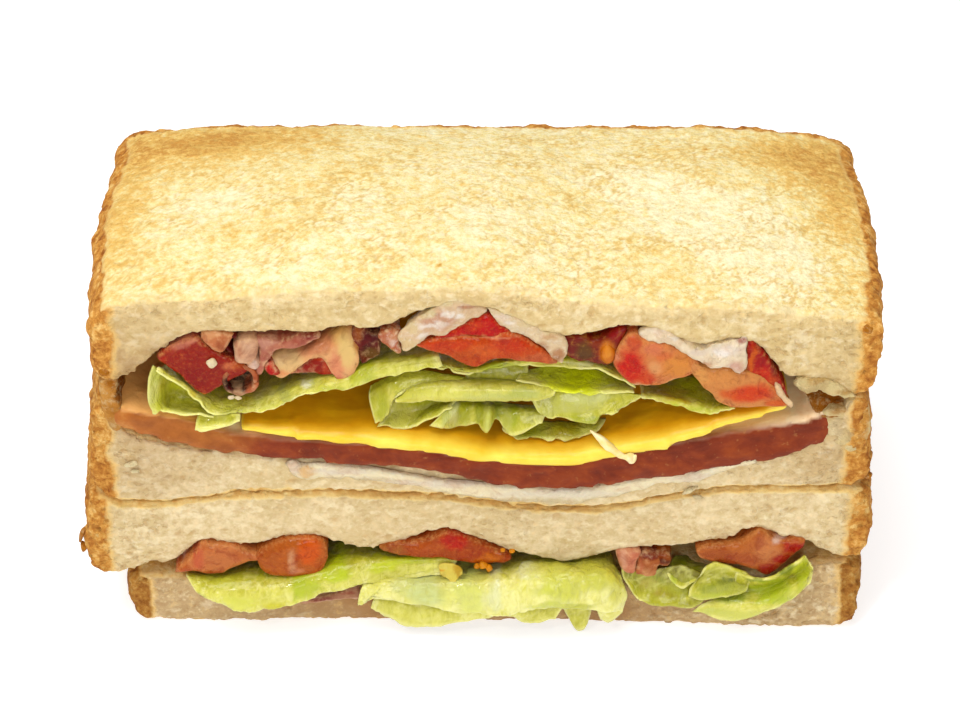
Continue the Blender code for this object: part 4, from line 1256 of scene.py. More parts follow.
leaves(
    "lettuce_lower_right",
    leaf("lettuce_lower_right", "lower_right_first", 371, (0.95, 0.8, 0.6, 0.4), [
        [(-18, 39, 84), (11, 38, 64), (72, 36, 78), (113, 35, 62)],
        [(-17, 36, 61), (13, 37, 44), (73, 35, 45), (111, 33, 30)],
        [(-9, 30, 46), (19, 31, 28), (80, 29, 28), (110, 30, 18)],
        [(1, 24, 30), (21, 21, 14), (86, 18, 8), (110, 26, 14)],
    ], [
        (54, 29, 24, 10, 0.32, 0.23, 0.002, 0.85), (34, 50, 16, 8, 0.21, 0.23, 0.002, 0.8),
        (96, 39, 31, 15, 0.29, 0.29, 0.002, 0.8), (66, 13, 47, 7, 0.25, 0.23, 0.002, 0.8),
        (35, 13, 24, 7, 0.38, 0.36, 0.002, 0.8), (75, 2, 31, 5, 0.53, 0.53, 0.044, 0.8),
        (10, 66, 12, 10, 0.29, 0.25, 0.002, 0.8), (19, 39, 12, 10, 0.41, 0.33, 0.027, 0.7),
    ]),
    leaf("lettuce_lower_right", "lower_right_lobe", 381, (0.75, 0.65, 0.5, 0.3), [
        [(66, 79, 59), (86, 99, 41), (108, 99, 32), (129, 79, 38)],
        [(56, 49, 66), (77, 65, 55), (102, 65, 51), (127, 55, 52)],
        [(54, 33, 64), (73, 39, 50), (95, 39, 54), (121, 43, 59)],
        [(60, 29, 51), (76, 25, 42), (91, 29, 47), (114, 37, 60)],
    ], [
        (83, 71, 20, 20, 0.38, 0.49, 0.013, 0.8), (64, 61, 6, 20, 0.47, 0.55, 0.044, 0.8),
        (90, 92, 20, 10, 0.21, 0.29, 0.002, 0.7), (106, 82, 12, 8, 0.33, 0.44, 0.002, 0.7),
    ]),
    leaf("lettuce_lower_right", "lower_right_fold", 391, (0.4, 0.75, 0.55, 0.35), [
        [(109, 33, 79), (129, 29, 91), (173, 25, 72), (181, 29, 51)],
        [(100, 34, 55), (121, 31, 68), (166, 38, 47), (180, 35, 41)],
        [(88, 25, 42), (112, 21, 48), (163, 30, 37), (178, 29, 38)],
        [(86, 22, 28), (107, 16, 25), (153, 21, 31), (173, 24, 35)],
    ], [
        (127, 45, 31, 13, 0.21, 0.25, 0.002, 0.85), (150, 39, 24, 10, 0.36, 0.37, 0.044, 0.8),
        (173, 45, 8, 20, 0.44, 0.44, 0.052, 0.8), (153, 55, 16, 5, 0.087, 0.11, 0.002, 0.85),
        (112, 29, 24, 7, 0.44, 0.49, 0.027, 0.7),
    ]),
    leaf("lettuce_lower_right", "lower_right_outer", 401, (0.2, 0.85, 0.5, 0.32, 0.22), [
        [(158, 27, 76), (201, 20, 66), (249, 22, 100), (263, 29, 106)],
        [(153, 37, 37), (207, 37, 37), (256, 37, 69), (270, 36, 87)],
        [(139, 32, 23), (202, 29, 26), (259, 32, 63), (273, 34, 82)],
        [(111, 21, 14), (194, 14, 19), (263, 21, 61), (276, 30, 78)],
        [(94, 19, -1), (161, 8, -10), (234, 12, 23), (274, 22, 58)],
    ], [
        (243, 81, 24, 15, 0.11, 0.16, 0.002, 0.85), (199, 59, 24, 8, 0.11, 0.17, 0.002, 0.85),
        (208, 33, 47, 11, 0.41, 0.49, 0.013, 0.8), (151, 22, 24, 8, 0.14, 0.21, 0.002, 0.85),
        (171, 1, 55, 10, 0.58, 0.58, 0.11, 0.8), (113, 1, 24, 8, 0.53, 0.55, 0.11, 0.7),
        (259, 75, 10, 30, 0.44, 0.49, 0.013, 0.8), (226, 49, 24, 10, 0.36, 0.44, 0.002, 0.7),
    ]),
)


# ---- Tomato
# Ripe slices and wedges, cut across: firm red flesh, orange-salmon and grainy where it was cut, a darker
# skin at some edges, and soft seed jelly between. All of it is wet and shiny. Its painted patches are
# its own colours, with painted highlights and painted shade among them.


def wet_finish(
    name, fleck, shade, grain_size, rim=None, rough=(0.15, 0.55), coat=0.2, relief=0.4, flecked=0.6
):
    """A filling that shows the colours painted on it, broken up by lighter flecks and darker clouds."""
    material, tree, shader = new_material(
        name, Roughness=0.3, Specular_IOR_Level=0.06, Subsurface_Weight=0.04, Subsurface_Scale=0.0012,
        Subsurface_Radius=(1.0, 0.35, 0.15), Coat_Weight=coat, Coat_Roughness=0.08,
    )
    painted = painted_colour(tree)
    fine = noise_value(tree, grain_size, 5.0, 0.68, 0.3)
    clouds = noise_value(tree, 0.3 * grain_size, 4.0, 0.6, 0.8)
    fleck_share = shade_levels(tree, fine, (0.50, 0.0), (0.70, flecked))
    shade_share = shade_levels(tree, clouds, (0.32, 0.8), (0.52, 0.0))
    colour = blended(tree, fleck_share, painted, blended(tree, 0.5, painted, (*fleck, 1)))
    colour = blended(tree, shade_share, colour, blended(tree, 0.55, painted, (*shade, 1)))
    if rim:
        broken = shade_levels(tree, fine, (0.42, 0.05), (0.62, 0.5))
        rim_share = maths(tree, "MULTIPLY", stored_value(tree, "rim"), broken)
        colour = blended(tree, rim_share, colour, (*rim, 1))
    tree.links.new(colour, shader.inputs["Base Color"])
    ends = {"From Min": 0.3, "From Max": 0.7, "To Min": rough[0], "To Max": rough[1]}
    wet = add_node(tree, "MapRange", {"Value": clouds, **ends})
    tree.links.new(wet.outputs[0], shader.inputs["Roughness"])
    raise_bumps(tree, shader, maths(tree, "ADD", fine, clouds), relief, 0.0005)
    return material


def chunk(
    node, name, seed, outline, front, depth, colour=None, patches=(), lumps=0.2, dome=0.5, voxel=0.36,
    back=0.8,
):
    """A solid lump behind an outline, domed towards the front and depth millimetres deep.

    The outline's (x, z) points, and how far back its top and its foot stand (front), are in tenths of a
    millimetre from the node's corner. Its far end is the outline scaled by back. A colour paints it.
    """
    corner = np.array(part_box(node)[0])
    outline = np.array(outline, float) * TENTH
    top, foot = outline[:, 1].max(), outline[:, 1].min()
    stand = np.interp(outline[:, 1], (foot, top), (front[1] * TENTH, front[0] * TENTH))
    points = np.stack([outline[:, 0], stand, outline[:, 1]], axis=1)
    ring = smooth_line(np.concatenate([points[-1:], points, points[:2]]), 6 * len(points))
    start = len(ring) // (len(points) + 2)
    ring = ring[start:-start]
    centre = ring.mean(0)
    domed = [(0.35, -dome), (0.7, -0.75 * dome), (0.93, -0.3 * dome), (1.0, 0.0)]
    behind = [(0.97, 0.45 * depth), (back, depth)]
    rings = [centre + (ring - centre) * scale + (0, push * MM, 0) for scale, push in domed + behind]
    piece = joined_rings(name, np.array(rings) + corner)
    remeshed(piece, voxel * MM, 4)
    mesh = piece.data
    places = vertex_array(mesh)
    move = lumps * soft_noise(places, 2.2 * MM, seed) + 0.5 * lumps * soft_noise(places, 1.0 * MM, seed + 1)
    move += 0.25 * lumps * soft_noise(places, 0.55 * MM, seed + 2)
    move_vertices(mesh, places + normal_array(mesh) * (move * MM)[:, None])
    to_ring = places[:, None, ::2] - (ring + corner)[None, :, ::2]
    gap = np.hypot(to_ring[..., 0], to_ring[..., 1]).min(axis=1)
    gap += 0.25 * MM * soft_noise(places, 0.9 * MM, seed + 3)
    in_front = ramp(places[:, 1] - corner[1] - ring[:, 1].max(), 1.5 * MM, 0.5 * MM)
    set_attribute(mesh, "rim", ramp(gap, 0.5 * MM, 0.1 * MM) * in_front)
    if colour:
        paint(mesh, node, colour, patches, seed + 1)
    return piece


tomato_flesh = wet_finish(
    "tomato_flesh", (0.83, 0.25, 0.044), (0.25, 0.002, 0.002), 1900.0, rim=(0.73, 0.36, 0.12),
    relief=0.9, flecked=0.5,
)
seed_jelly = wet_finish("tomato_seed_jelly", (0.66, 0.33, 0.044), (0.027, 0.002, 0.002), 800.0)

# Among the patches, a few pale ones are painted highlights and a few dark ones painted shade.
TOMATOES = {  # outline, front, depth, lumps, dome, colour and patches
    "tomato_upper_1": ([
        (-10, 75), (16, 94), (47, 106), (55, 103), (63, 92), (97, 70), (125, 51), (89, 29), (55, 6),
        (24, 37), (-3, 64),
    ], (7, -2), 6.0, 0.14, 0.2, (0.29, 0.01, 0.002), [
        (-2, 68, 8, 8, 0.49, 0.021, 0.002, 0.8), (10, 51, 9, 9, 0.49, 0.015, 0.002, 0.8),
        (24, 35, 9, 9, 0.47, 0.01, 0.002, 0.8), (37, 19, 9, 8, 0.44, 0.01, 0.002, 0.8),
        (43, 41, 24, 19, 0.23, 0.002, 0.002, 0.7), (19, 92, 16, 8, 0.54, 0.18, 0.11, 0.7),
        (39, 101, 16, 7, 0.58, 0.2, 0.11, 0.8), (10, 84, 11, 6, 0.41, 0.052, 0.024, 0.5),
        (96, 59, 10, 9, 0.59, 0.15, 0.048, 0.8), (109, 54, 13, 7, 0.41, 0.052, 0.002, 0.6),
        (51, 5, 6, 4, 0.67, 0.21, 0.002, 0.9),
    ]),
    "tomato_upper_3": ([
        (17, 98), (22, 102), (36, 101), (40, 93), (77, 85), (94, 75), (125, 49), (116, 26), (96, 20),
        (67, 10), (45, 7), (28, 13), (14, 24), (3, 39), (-1, 54), (4, 72), (12, 86),
    ], (4, -2), 8.0, 0.2, 0.7, (0.66, 0.21, 0.056), [
        (95, 46, 25, 20, 0.7, 0.25, 0.034, 0.8), (58, 46, 12, 13, 0.73, 0.34, 0.12, 0.7),
        (74, 64, 13, 9, 0.66, 0.12, 0.027, 0.6), (57, 76, 15, 11, 0.66, 0.16, 0.068, 0.7),
        (26, 46, 22, 34, 0.58, 0.008, 0.002, 1), (48, 25, 17, 16, 0.59, 0.027, 0.002, 0.85),
        (29, 88, 11, 14, 0.53, 0.044, 0.013, 0.8), (2, 68, 4, 19, 0.66, 0.25, 0.13, 0.6),
        (24, 11, 18, 4, 0.66, 0.44, 0.25, 0.9), (55, 7, 18, 3, 0.7, 0.44, 0.22, 0.85),
        (96, 18, 20, 3, 0.73, 0.44, 0.15, 0.85),
    ]),
    "tomato_lower_1": ([
        (-6, 3), (17, 28), (31, 45), (41, 64), (53, 58), (72, 58), (91, 55), (106, 45), (121, 40),
        (136, 31), (97, 17), (65, 1), (19, 4),
    ], (7, 1), 8.0, 0.26, 0.5, (0.58, 0.17, 0.041), [
        (32, 37, 10, 23, 0.53, 0.068, 0.03, 0.7), (67, 32, 31, 18, 0.52, 0.15, 0.041, 0.6),
        (57, 3, 28, 7, 0.31, 0.056, 0.002, 0.8), (11, 9, 20, 9, 0.42, 0.06, 0.005, 0.7),
        (98, 39, 20, 9, 0.44, 0.097, 0.018, 0.6),
    ]),
    "tomato_lower_2": ([
        (2, 45), (37, 68), (60, 74), (83, 76), (102, 73), (112, 61), (114, 45), (111, 29), (101, 13),
        (81, 6), (58, 4), (31, 5), (14, 11), (6, 24), (3, 34),
    ], (11, 1), 8.0, 0.14, 1.0, (0.45, 0.097, 0.008), [
        (86, 54, 20, 24, 0.64, 0.087, 0.002, 0.9), (59, 38, 6, 25, 0.66, 0.32, 0.15, 0.75),
        (67, 18, 12, 7, 0.66, 0.25, 0.12, 0.6), (21, 48, 16, 20, 0.38, 0.082, 0.01, 0.6),
        (54, 3, 35, 7, 0.33, 0.064, 0.002, 0.8), (100, 14, 12, 13, 0.53, 0.087, 0.002, 0.6),
    ]),
    "tomato_lower_3": ([
        (4, 34), (30, 43), (61, 47), (84, 53), (107, 65), (117, 65), (137, 53), (160, 43), (198, 22),
        (209, 12), (191, 5), (160, 3), (129, 9), (99, 14), (68, 16), (37, 20), (14, 26),
    ], (8, 3), 8.0, 0.2, 0.5, (0.36, 0.052, 0.002), [
        (122, 49, 25, 18, 0.48, 0.008, 0.002, 0.9), (83, 37, 31, 12, 0.44, 0.077, 0.008, 0.7),
        (171, 16, 22, 10, 0.58, 0.14, 0.002, 0.8), (25, 32, 22, 10, 0.34, 0.12, 0.015, 0.7),
        (145, 24, 25, 10, 0.38, 0.037, 0.002, 0.5),
    ]),
    "tomato_lower_4": ([
        (8, 38), (22, 48), (45, 50), (64, 54), (83, 62), (103, 79), (117, 72), (129, 62), (171, 59),
        (175, 51), (169, 38), (136, 4), (117, -9), (90, 7), (43, 14), (26, 19), (14, 27),
    ], (8, 1), 8.0, 0.2, 0.5, (0.47, 0.12, 0.018), [
        (119, 44, 20, 26, 0.59, 0.2, 0.056, 0.8), (46, 31, 37, 15, 0.3, 0.048, 0.005, 0.7),
        (85, 24, 24, 19, 0.39, 0.077, 0.013, 0.6), (161, 47, 20, 11, 0.38, 0.002, 0.002, 0.95),
        (141, 27, 17, 13, 0.34, 0.002, 0.002, 0.95), (121, 5, 17, 14, 0.29, 0.002, 0.002, 0.92),
        (137, 60, 10, 5, 0.73, 0.5, 0.39, 0.85),
    ]),
}
tomato_pieces = {}
for number, (node, (outline, front, depth, *look)) in enumerate(TOMATOES.items()):
    lumps, dome, colour, patches = look
    seed = 401 + 10 * number
    tomato_pieces[node] = chunk(
        node, node + "_slice", seed, outline, front, depth, colour, patches, lumps, dome
    )

front_flesh = chunk("tomato_upper_2", "upper_slice_2_front", 411, [
    (12, 55), (40, 64), (80, 71), (104, 70), (128, 70), (143, 77), (159, 75), (179, 64), (213, 35),
    (226, 23), (208, 21), (177, 26), (148, 29), (128, 28), (102, 16), (90, 20), (51, 40), (18, 50),
], (2, -4), 8.0, (0.52, 0.052, 0.002), [
    (61, 57, 50, 9, 0.56, 0.03, 0.002, 0.6), (119, 48, 24, 13, 0.63, 0.11, 0.015, 0.6),
    (90, 36, 24, 13, 0.48, 0.068, 0.002, 0.5), (152, 57, 31, 13, 0.51, 0.021, 0.002, 0.7),
    (189, 33, 29, 10, 0.58, 0.14, 0.037, 0.7), (220, 25, 13, 8, 0.41, 0.11, 0.03, 0.8),
    (95, 15, 17, 5, 0.31, 0.002, 0.002, 0.8), (25, 56, 13, 5, 0.66, 0.082, 0.018, 0.6),
    (104, 71, 60, 3, 0.7, 0.25, 0.12, 0.85),
], lumps=0.14, dome=0.35)
upper_flesh = chunk("tomato_upper_2", "upper_slice_2_top", 414, [
    (40, 62), (61, 78), (92, 93), (104, 100), (121, 105), (145, 83), (176, 64), (152, 63), (128, 67),
    (104, 68), (80, 68), (56, 64),
], (9, 2), 8.0, (0.49, 0.003, 0.002), [
    (102, 87, 16, 9, 0.58, 0.041, 0.002, 0.6), (61, 74, 18, 6, 0.53, 0.018, 0.002, 0.6),
    (140, 79, 16, 9, 0.45, 0.002, 0.002, 0.7),
], lumps=0.08, dome=0.3)
tomato_pieces["tomato_upper_2"] = joined("upper_slice_2", front_flesh, upper_flesh)

orange_flesh = chunk("tomato_upper_4", "upper_wedge_4_front", 441, [
    (-9, 89), (4, 77), (15, 72), (27, 71), (45, 74), (62, 65), (74, 70), (104, 50), (119, 38), (137, 10),
    (143, 5), (111, 1), (80, 0), (49, 2), (31, 12), (21, 28), (-5, 58), (-12, 75),
], (1, -7), 8.0, (0.64, 0.24, 0.06), [
    (38, 49, 27, 23, 0.66, 0.25, 0.056, 0.8), (80, 30, 39, 18, 0.63, 0.037, 0.002, 0.95),
    (48, 29, 13, 10, 0.63, 0.082, 0.005, 0.7), (119, 11, 18, 8, 0.62, 0.068, 0.002, 0.8),
    (7, 57, 13, 17, 0.71, 0.32, 0.073, 0.7), (70, -3, 38, 3, 0.77, 0.5, 0.26, 0.95),
    (119, -1, 20, 3, 0.77, 0.53, 0.26, 0.95), (13, 25, 9, 11, 0.7, 0.38, 0.14, 0.6),
], lumps=0.22, dome=0.5)
red_slab = chunk("tomato_upper_4", "upper_wedge_4_side", 444, [
    (74, 122), (86, 111), (115, 68), (136, 23), (120, 26), (88, 51), (75, 63), (72, 83), (71, 105),
], (6, -2), 7.0, (0.36, 0.002, 0.002), [
    (81, 87, 6, 27, 0.66, 0.12, 0.003, 0.8), (98, 55, 18, 20, 0.62, 0.027, 0.002, 0.7),
    (115, 50, 8, 17, 0.54, 0.068, 0.002, 0.6), (117, 71, 8, 17, 0.16, 0.002, 0.002, 0.8),
], lumps=0.14, dome=0.3)
skin_edge = string_of(
    "upper_wedge_4_skin",
    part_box("tomato_upper_4")[0],
    [
        (11.7, -0.2, 4.7, 0.3),
        (12.3, -0.5, 3.4, 0.45),
        (13.1, -0.7, 2, 0.5),
        (14, -0.8, 1.2, 0.55),
        (14.2, -0.8, 0.4, 0.4),
    ],
    447,
)
paint(skin_edge.data, "tomato_upper_4", (0.76, 0.53, 0.29), [], 448)
tomato_pieces["tomato_upper_4"] = joined("upper_wedge_4", orange_flesh, red_slab, skin_edge)

for node, piece in tomato_pieces.items():
    piece.name = node + "_ripe"
    finish_piece(piece, tomato_flesh, "tomato", node)

core_jelly = chunk("tomato_upper_core", "core_jelly", 421, [
    (-13, 28), (-9, 45), (5, 51), (29, 46), (41, 43), (72, 61), (85, 65), (83, 50), (74, 30), (68, 8),
    (60, -4), (47, -2), (34, 3), (18, 3), (1, 10),
], (-6, -10), 8.0, lumps=0.24, dome=0.3)
core_blob = chunk("tomato_upper_core", "core_blob", 424, [
    (46, 21), (49, 33), (58, 39), (67, 33), (70, 21), (67, 7), (59, 2), (50, 7),
], (-9, -13), 3.0, lumps=0.06, dome=0.9)
core = joined("tomato_upper_core_ripe", core_jelly, core_blob)
paint(core.data, "tomato_upper_core", (0.15, 0.008, 0.002), [
    (58, 22, 13, 22, 0.49, 0.12, 0.002, 1), (57, 27, 6, 10, 0.63, 0.23, 0.021, 0.7),
    (24, 24, 14, 18, 0.097, 0.041, 0.002, 0.85), (72, 53, 14, 14, 0.25, 0.002, 0.002, 0.8),
    (39, 38, 11, 6, 0.23, 0.03, 0.002, 0.6),
], 422)
finish_piece(core, seed_jelly, "tomato", "tomato_upper_core")


def drops(name, node, seed, places, colour, material, slot=None):
    """Small rounded blobs, such as seeds: (x, y, z) from the node's corner and radii, in millimetres."""
    chance = random.Random(seed)
    corner = Vector(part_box(node)[0])
    work = bmesh.new()
    for place, (wide, deep, high) in places:
        made = bmesh.ops.create_icosphere(work, subdivisions=3, radius=1.0)["verts"]
        lean = chance.uniform(-0.6, 0.6)
        for vertex in made:
            swell = 1 + 0.12 * math.sin(3 * vertex.co.x + 9 * lean) * math.cos(4 * vertex.co.z + lean)
            x, y, z = vertex.co * swell
            across = wide * x * math.cos(lean) - high * z * math.sin(lean)
            height = wide * x * math.sin(lean) + high * z * math.cos(lean)
            vertex.co = corner + (Vector(place) + Vector((across, deep * y, height))) * MM
    mesh = bpy.data.meshes.new(name)
    work.to_mesh(mesh)
    work.free()
    piece = bpy.data.objects.new(name, mesh)
    scene.collection.objects.link(piece)
    paint(mesh, node, colour, [], seed)
    finish_piece(piece, material, slot)


drops("tomato_seeds", "tomato_lower_3", 491, [
    ((16.5, -0.3, 0.6), (0.7, 0.6, 0.6)),
    ((17.4, -0.5, 0.2), (0.5, 0.5, 0.6)),
    ((15.5, -0.5, 0.6), (0.45, 0.4, 0.5)),
    ((20.9, 0.1, 3.2), (0.5, 0.4, 0.35)),
    ((19.5, 0.2, 3.3), (0.4, 0.4, 0.3)),
], (0.59, 0.21, 0.005), seed_jelly, "tomato")
lower_jelly = chunk("tomato_lower_3", "lower_jelly", 493, [
    (94, 7), (106, 14), (123, 11), (134, 1), (129, -11), (120, -21), (117, -34), (109, -30), (111, -15),
    (99, -8),
], (-5, -27), 1.0, (0.63, 0.5, 0.077), [
    (108, 16, 8, 6, 0.7, 0.53, 0.11, 0.9), (126, 1, 5, 12, 0.41, 0.21, 0.002, 0.8),
    (100, 3, 5, 4, 0.59, 0.21, 0.002, 0.8), (112, -28, 3, 10, 0.53, 0.53, 0.064, 0.9),
], lumps=0.3, dome=-0.1, voxel=0.3)
finish_piece(lower_jelly, seed_jelly, "tomato")


# ---- Mayonnaise
# Mayonnaise spread on the bread, squeezed out over the tomato's top edges and under the ham: a cream film,
# pink where the tomato has stained it, frothy and glossy where it is thick. Its palest patches are painted
# highlights and its darkest are painted shade.

mayonnaise = wet_finish(
    "mayonnaise", (0.87, 0.82, 0.7), (0.59, 0.34, 0.17), 1300.0, rim=(0.66, 0.52, 0.27),
    coat=0.25, relief=1.0, flecked=0.8,
)
# In the mayonnaise below, the palest patches are painted highlights and the darkest painted shade.
mayo_left = chunk("tomato_upper_2", "mayonnaise_left", 601, [
    (-9, 70), (5, 88), (33, 111), (52, 123), (71, 130), (90, 128), (120, 114), (113, 104), (94, 97),
    (67, 77), (28, 65), (15, 56), (9, 47), (-1, 46), (-6, 59),
], (8, -3), 2.6, (0.68, 0.47, 0.27), [
    (52, 99, 26, 17, 0.53, 0.25, 0.15, 0.8), (55, 93, 14, 5, 0.79, 0.67, 0.56, 0.9),
    (27, 73, 10, 4, 0.79, 0.68, 0.56, 0.9), (83, 102, 7, 5, 0.8, 0.7, 0.6, 0.9),
    (6, 58, 14, 13, 0.68, 0.48, 0.22, 0.8), (90, 119, 16, 3, 0.32, 0.068, 0.015, 0.7),
    (37, 80, 10, 5, 0.62, 0.36, 0.21, 0.6), (9, 88, 13, 9, 0.66, 0.49, 0.25, 0.95),
    (33, 111, 16, 9, 0.68, 0.53, 0.27, 0.95), (57, 129, 18, 7, 0.68, 0.54, 0.28, 0.95),
    (85, 132, 16, 5, 0.67, 0.52, 0.27, 0.9), (66, 111, 10, 4, 0.83, 0.73, 0.63, 0.9),
    (37, 87, 16, 4, 0.82, 0.7, 0.59, 0.9),
], lumps=0.4, dome=0.25, voxel=0.3)
mayo_right = chunk("tomato_upper_2", "mayonnaise_right", 604, [
    (117, 117), (135, 114), (171, 95), (205, 78), (222, 72), (236, 56), (233, 20), (224, 23), (197, 49),
    (179, 64), (143, 83), (130, 96),
], (8, -2), 2.6, (0.71, 0.53, 0.31), [
    (140, 103, 16, 5, 0.76, 0.59, 0.44, 0.8), (167, 82, 17, 5, 0.67, 0.52, 0.32, 0.8),
    (200, 51, 14, 9, 0.48, 0.25, 0.12, 0.8), (222, 33, 12, 15, 0.38, 0.14, 0.044, 0.85),
    (176, 64, 9, 4, 0.59, 0.19, 0.097, 0.8), (210, 67, 13, 5, 0.53, 0.29, 0.11, 0.7),
    (128, 121, 13, 5, 0.68, 0.54, 0.29, 0.95), (152, 110, 16, 7, 0.67, 0.53, 0.28, 0.95),
    (181, 93, 18, 7, 0.66, 0.5, 0.26, 0.95), (214, 77, 16, 7, 0.63, 0.47, 0.24, 0.95),
    (152, 96, 10, 3, 0.82, 0.71, 0.59, 0.9),
], lumps=0.4, dome=0.25, voxel=0.3)
mayo_scrap = chunk("tomato_upper_2", "mayonnaise_scrap", 607, [
    (-38, 70), (-19, 78), (-6, 72), (-6, 54), (-1, 40), (-9, 34), (-28, 51), (-36, 60),
], (7, 3), 4.0, (0.44, 0.097, 0.03), [
    (-18, 55, 6, 9, 0.71, 0.47, 0.36, 0.9), (-15, 38, 10, 5, 0.47, 0.18, 0.002, 0.9),
    (-12, 68, 7, 9, 0.58, 0.25, 0.11, 0.7), (-30, 66, 8, 8, 0.37, 0.048, 0.013, 0.7),
], lumps=0.3, dome=0.4, voxel=0.3)
mayo_foam = chunk("tomato_upper_3", "mayonnaise_froth", 611, [
    (34, 102), (46, 109), (60, 110), (76, 107), (91, 98), (101, 88), (130, 77), (142, 84), (178, 92),
    (192, 97), (194, 59), (194, 43), (183, 37), (166, 47), (148, 43), (135, 45), (110, 62), (93, 75),
    (77, 84), (40, 92),
], (7, -6), 2.6, lumps=0.36, dome=0.3, voxel=0.28)
places = vertex_array(mayo_foam.data)
near, _, luck = cell_noise(places, 0.75 * MM, 614)
wedge_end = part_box("tomato_upper_3")[1][0]
bubbles = ramp(near, 0.45, 0.1) * (luck > 0.1) * ramp(places[:, 0], wedge_end - 6 * MM, wedge_end)
sunk = normal_array(mayo_foam.data) * (0.22 * MM * bubbles)[:, None]
move_vertices(mayo_foam.data, places - sunk)
paint(mayo_foam.data, "tomato_upper_3", (0.79, 0.63, 0.42), [
    (64, 107, 18, 4, 0.77, 0.6, 0.44, 0.9), (124, 70, 14, 7, 0.73, 0.58, 0.44, 0.9),
    (164, 74, 27, 9, 0.76, 0.62, 0.49, 0.9), (178, 46, 15, 11, 0.58, 0.29, 0.21, 0.85),
    (185, 89, 10, 5, 0.34, 0.092, 0.068, 0.85), (135, 49, 9, 5, 0.53, 0.22, 0.092, 0.85),
    (93, 86, 11, 6, 0.7, 0.49, 0.29, 0.7), (43, 116, 11, 4, 0.7, 0.55, 0.29, 0.95),
    (71, 114, 13, 5, 0.68, 0.53, 0.28, 0.95), (96, 96, 11, 6, 0.67, 0.52, 0.27, 0.95),
    (125, 81, 13, 5, 0.63, 0.47, 0.23, 0.95), (153, 91, 15, 5, 0.64, 0.49, 0.25, 0.95),
    (183, 99, 9, 4, 0.49, 0.31, 0.15, 0.9), (88, 93, 9, 4, 0.83, 0.73, 0.6, 0.9),
    (155, 70, 13, 6, 0.85, 0.76, 0.66, 0.9),
], 612)
for piece in (mayo_left, mayo_right, mayo_scrap, mayo_foam):
    finish_piece(piece, mayonnaise)

under_ham, _ = sheet_between(
    "mayonnaise_under_ham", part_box("ham_slab")[0], [
        [(236, 20, 34), (248, 20, 42), (265, 20, 34), (286, 20, 36), (326, 20, 32), (378, 20, 24),
         (438, 20, 10), (483, 20, 2), (566, 20, -6), (603, 20, -10), (649, 20, -13), (682, 20, -12),
         (716, 20, -4), (791, 20, 13), (820, 20, 20), (843, 20, 19), (883, 20, 30), (939, 20, 44)],
        [(241, 14, 32), (254, 14, 34), (268, 14, 28), (291, 14, 30), (330, 14, 27), (382, 14, 20),
         (442, 14, 7), (487, 14, -2), (566, 14, -13), (603, 14, -17), (649, 14, -20), (682, 14, -19),
         (716, 14, -11), (791, 15, 8), (821, 15, 15), (847, 16, 16), (884, 16, 28), (940, 17, 44)],
        [(244, 19, 15), (258, 19, 7), (271, 19, 5), (295, 19, 7), (333, 19, 5), (385, 19, -1),
         (445, 19, -13), (490, 19, -23), (566, 19, -39), (604, 19, -43), (649, 19, -45), (682, 19, -43),
         (717, 19, -34), (791, 19, -9), (823, 19, -2), (851, 19, 1), (885, 19, 17), (942, 19, 37)],
    ], 0.5, 631, crinkle=0.2, ruffle=0.0, ragged=0.5,
)
# Its darker patches along the lower edge are painted shade.
paint(under_ham.data, "ham_slab", (0.87, 0.74, 0.47), [
    (251, 31, 11, 14, 0.76, 0.6, 0.44, 0.9), (270, 23, 14, 12, 0.7, 0.38, 0.11, 0.8),
    (318, 23, 47, 8, 0.74, 0.62, 0.47, 0.8), (453, -1, 94, 8, 0.74, 0.62, 0.47, 0.8),
    (649, -23, 110, 10, 0.76, 0.66, 0.49, 0.8), (558, -37, 189, 6, 0.59, 0.46, 0.25, 0.8),
    (858, 9, 47, 12, 0.73, 0.6, 0.44, 0.8), (348, 5, 63, 6, 0.58, 0.45, 0.25, 0.8),
], 632)
finish_piece(under_ham, mayonnaise)

drops("mayonnaise_dots", "tomato_upper_1", 621, [
    ((7, -0.3, 6.8), (0.75, 0.4, 0.85)),
    ((9.6, -1.1, 1), (0.55, 0.35, 0.3)),
    ((10.6, -1.1, 0.9), (0.5, 0.3, 0.25)),
], (0.73, 0.58, 0.34), mayonnaise)


# ---- Bacon
# Soft rashers, folded and curled: pink and cream fat, streaked with darker red meat, with brown edges
# where the pan has crisped them, painted near-black shade inside the folds and curls, and painted
# highlights on the glossy fat.

bacon_rasher = wet_finish(
    "bacon_rasher", (0.76, 0.44, 0.21), (0.14, 0.002, 0.002), 1100.0, rim=(0.73, 0.47, 0.25), coat=0.12
)
CURL_STEPS = 12


def rasher(node, name, seed, rows, thickness, **shape):
    """One fold of a rasher, a thick sheet through rows of points."""
    piece, _ = sheet_between(name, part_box(node)[0], rows, thickness, seed, ragged=0.25, **shape)
    return piece


def rasher_curl(node, name, seed, centre, radii, wall, back, turn=(0.0, 360.0), flare=0.0):
    """A curl of rasher seen from its end, back millimetres long and turning between two angles.

    Its centre (x, y, z), from the node's corner, its radii and its wall are in millimetres.
    """
    rows = []
    for depth in (back, 0.5 * back, 1.2, 0.0):
        row = []
        for step in range(CURL_STEPS + 1):
            angle = math.radians(turn[0] + (turn[1] - turn[0]) * step / CURL_STEPS)
            wobble = 1 + 0.12 * math.sin(2.3 * angle + seed)
            row.append((
                10 * (centre[0] + wobble * radii[0] * math.cos(angle)),
                10 * (centre[1] + depth - flare * (1 - math.sin(angle))),
                10 * (centre[2] + wobble * radii[1] * math.sin(angle)),
            ))
        rows.append(row)
    return rasher(node, name, seed, rows, wall, crinkle=0.16, ruffle=0.25)


def rashers(node, *pieces):
    """Joins a rasher's folds into one piece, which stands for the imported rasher."""
    finish_piece(joined(node + "_rasher", *pieces), bacon_rasher, "bacon", node)


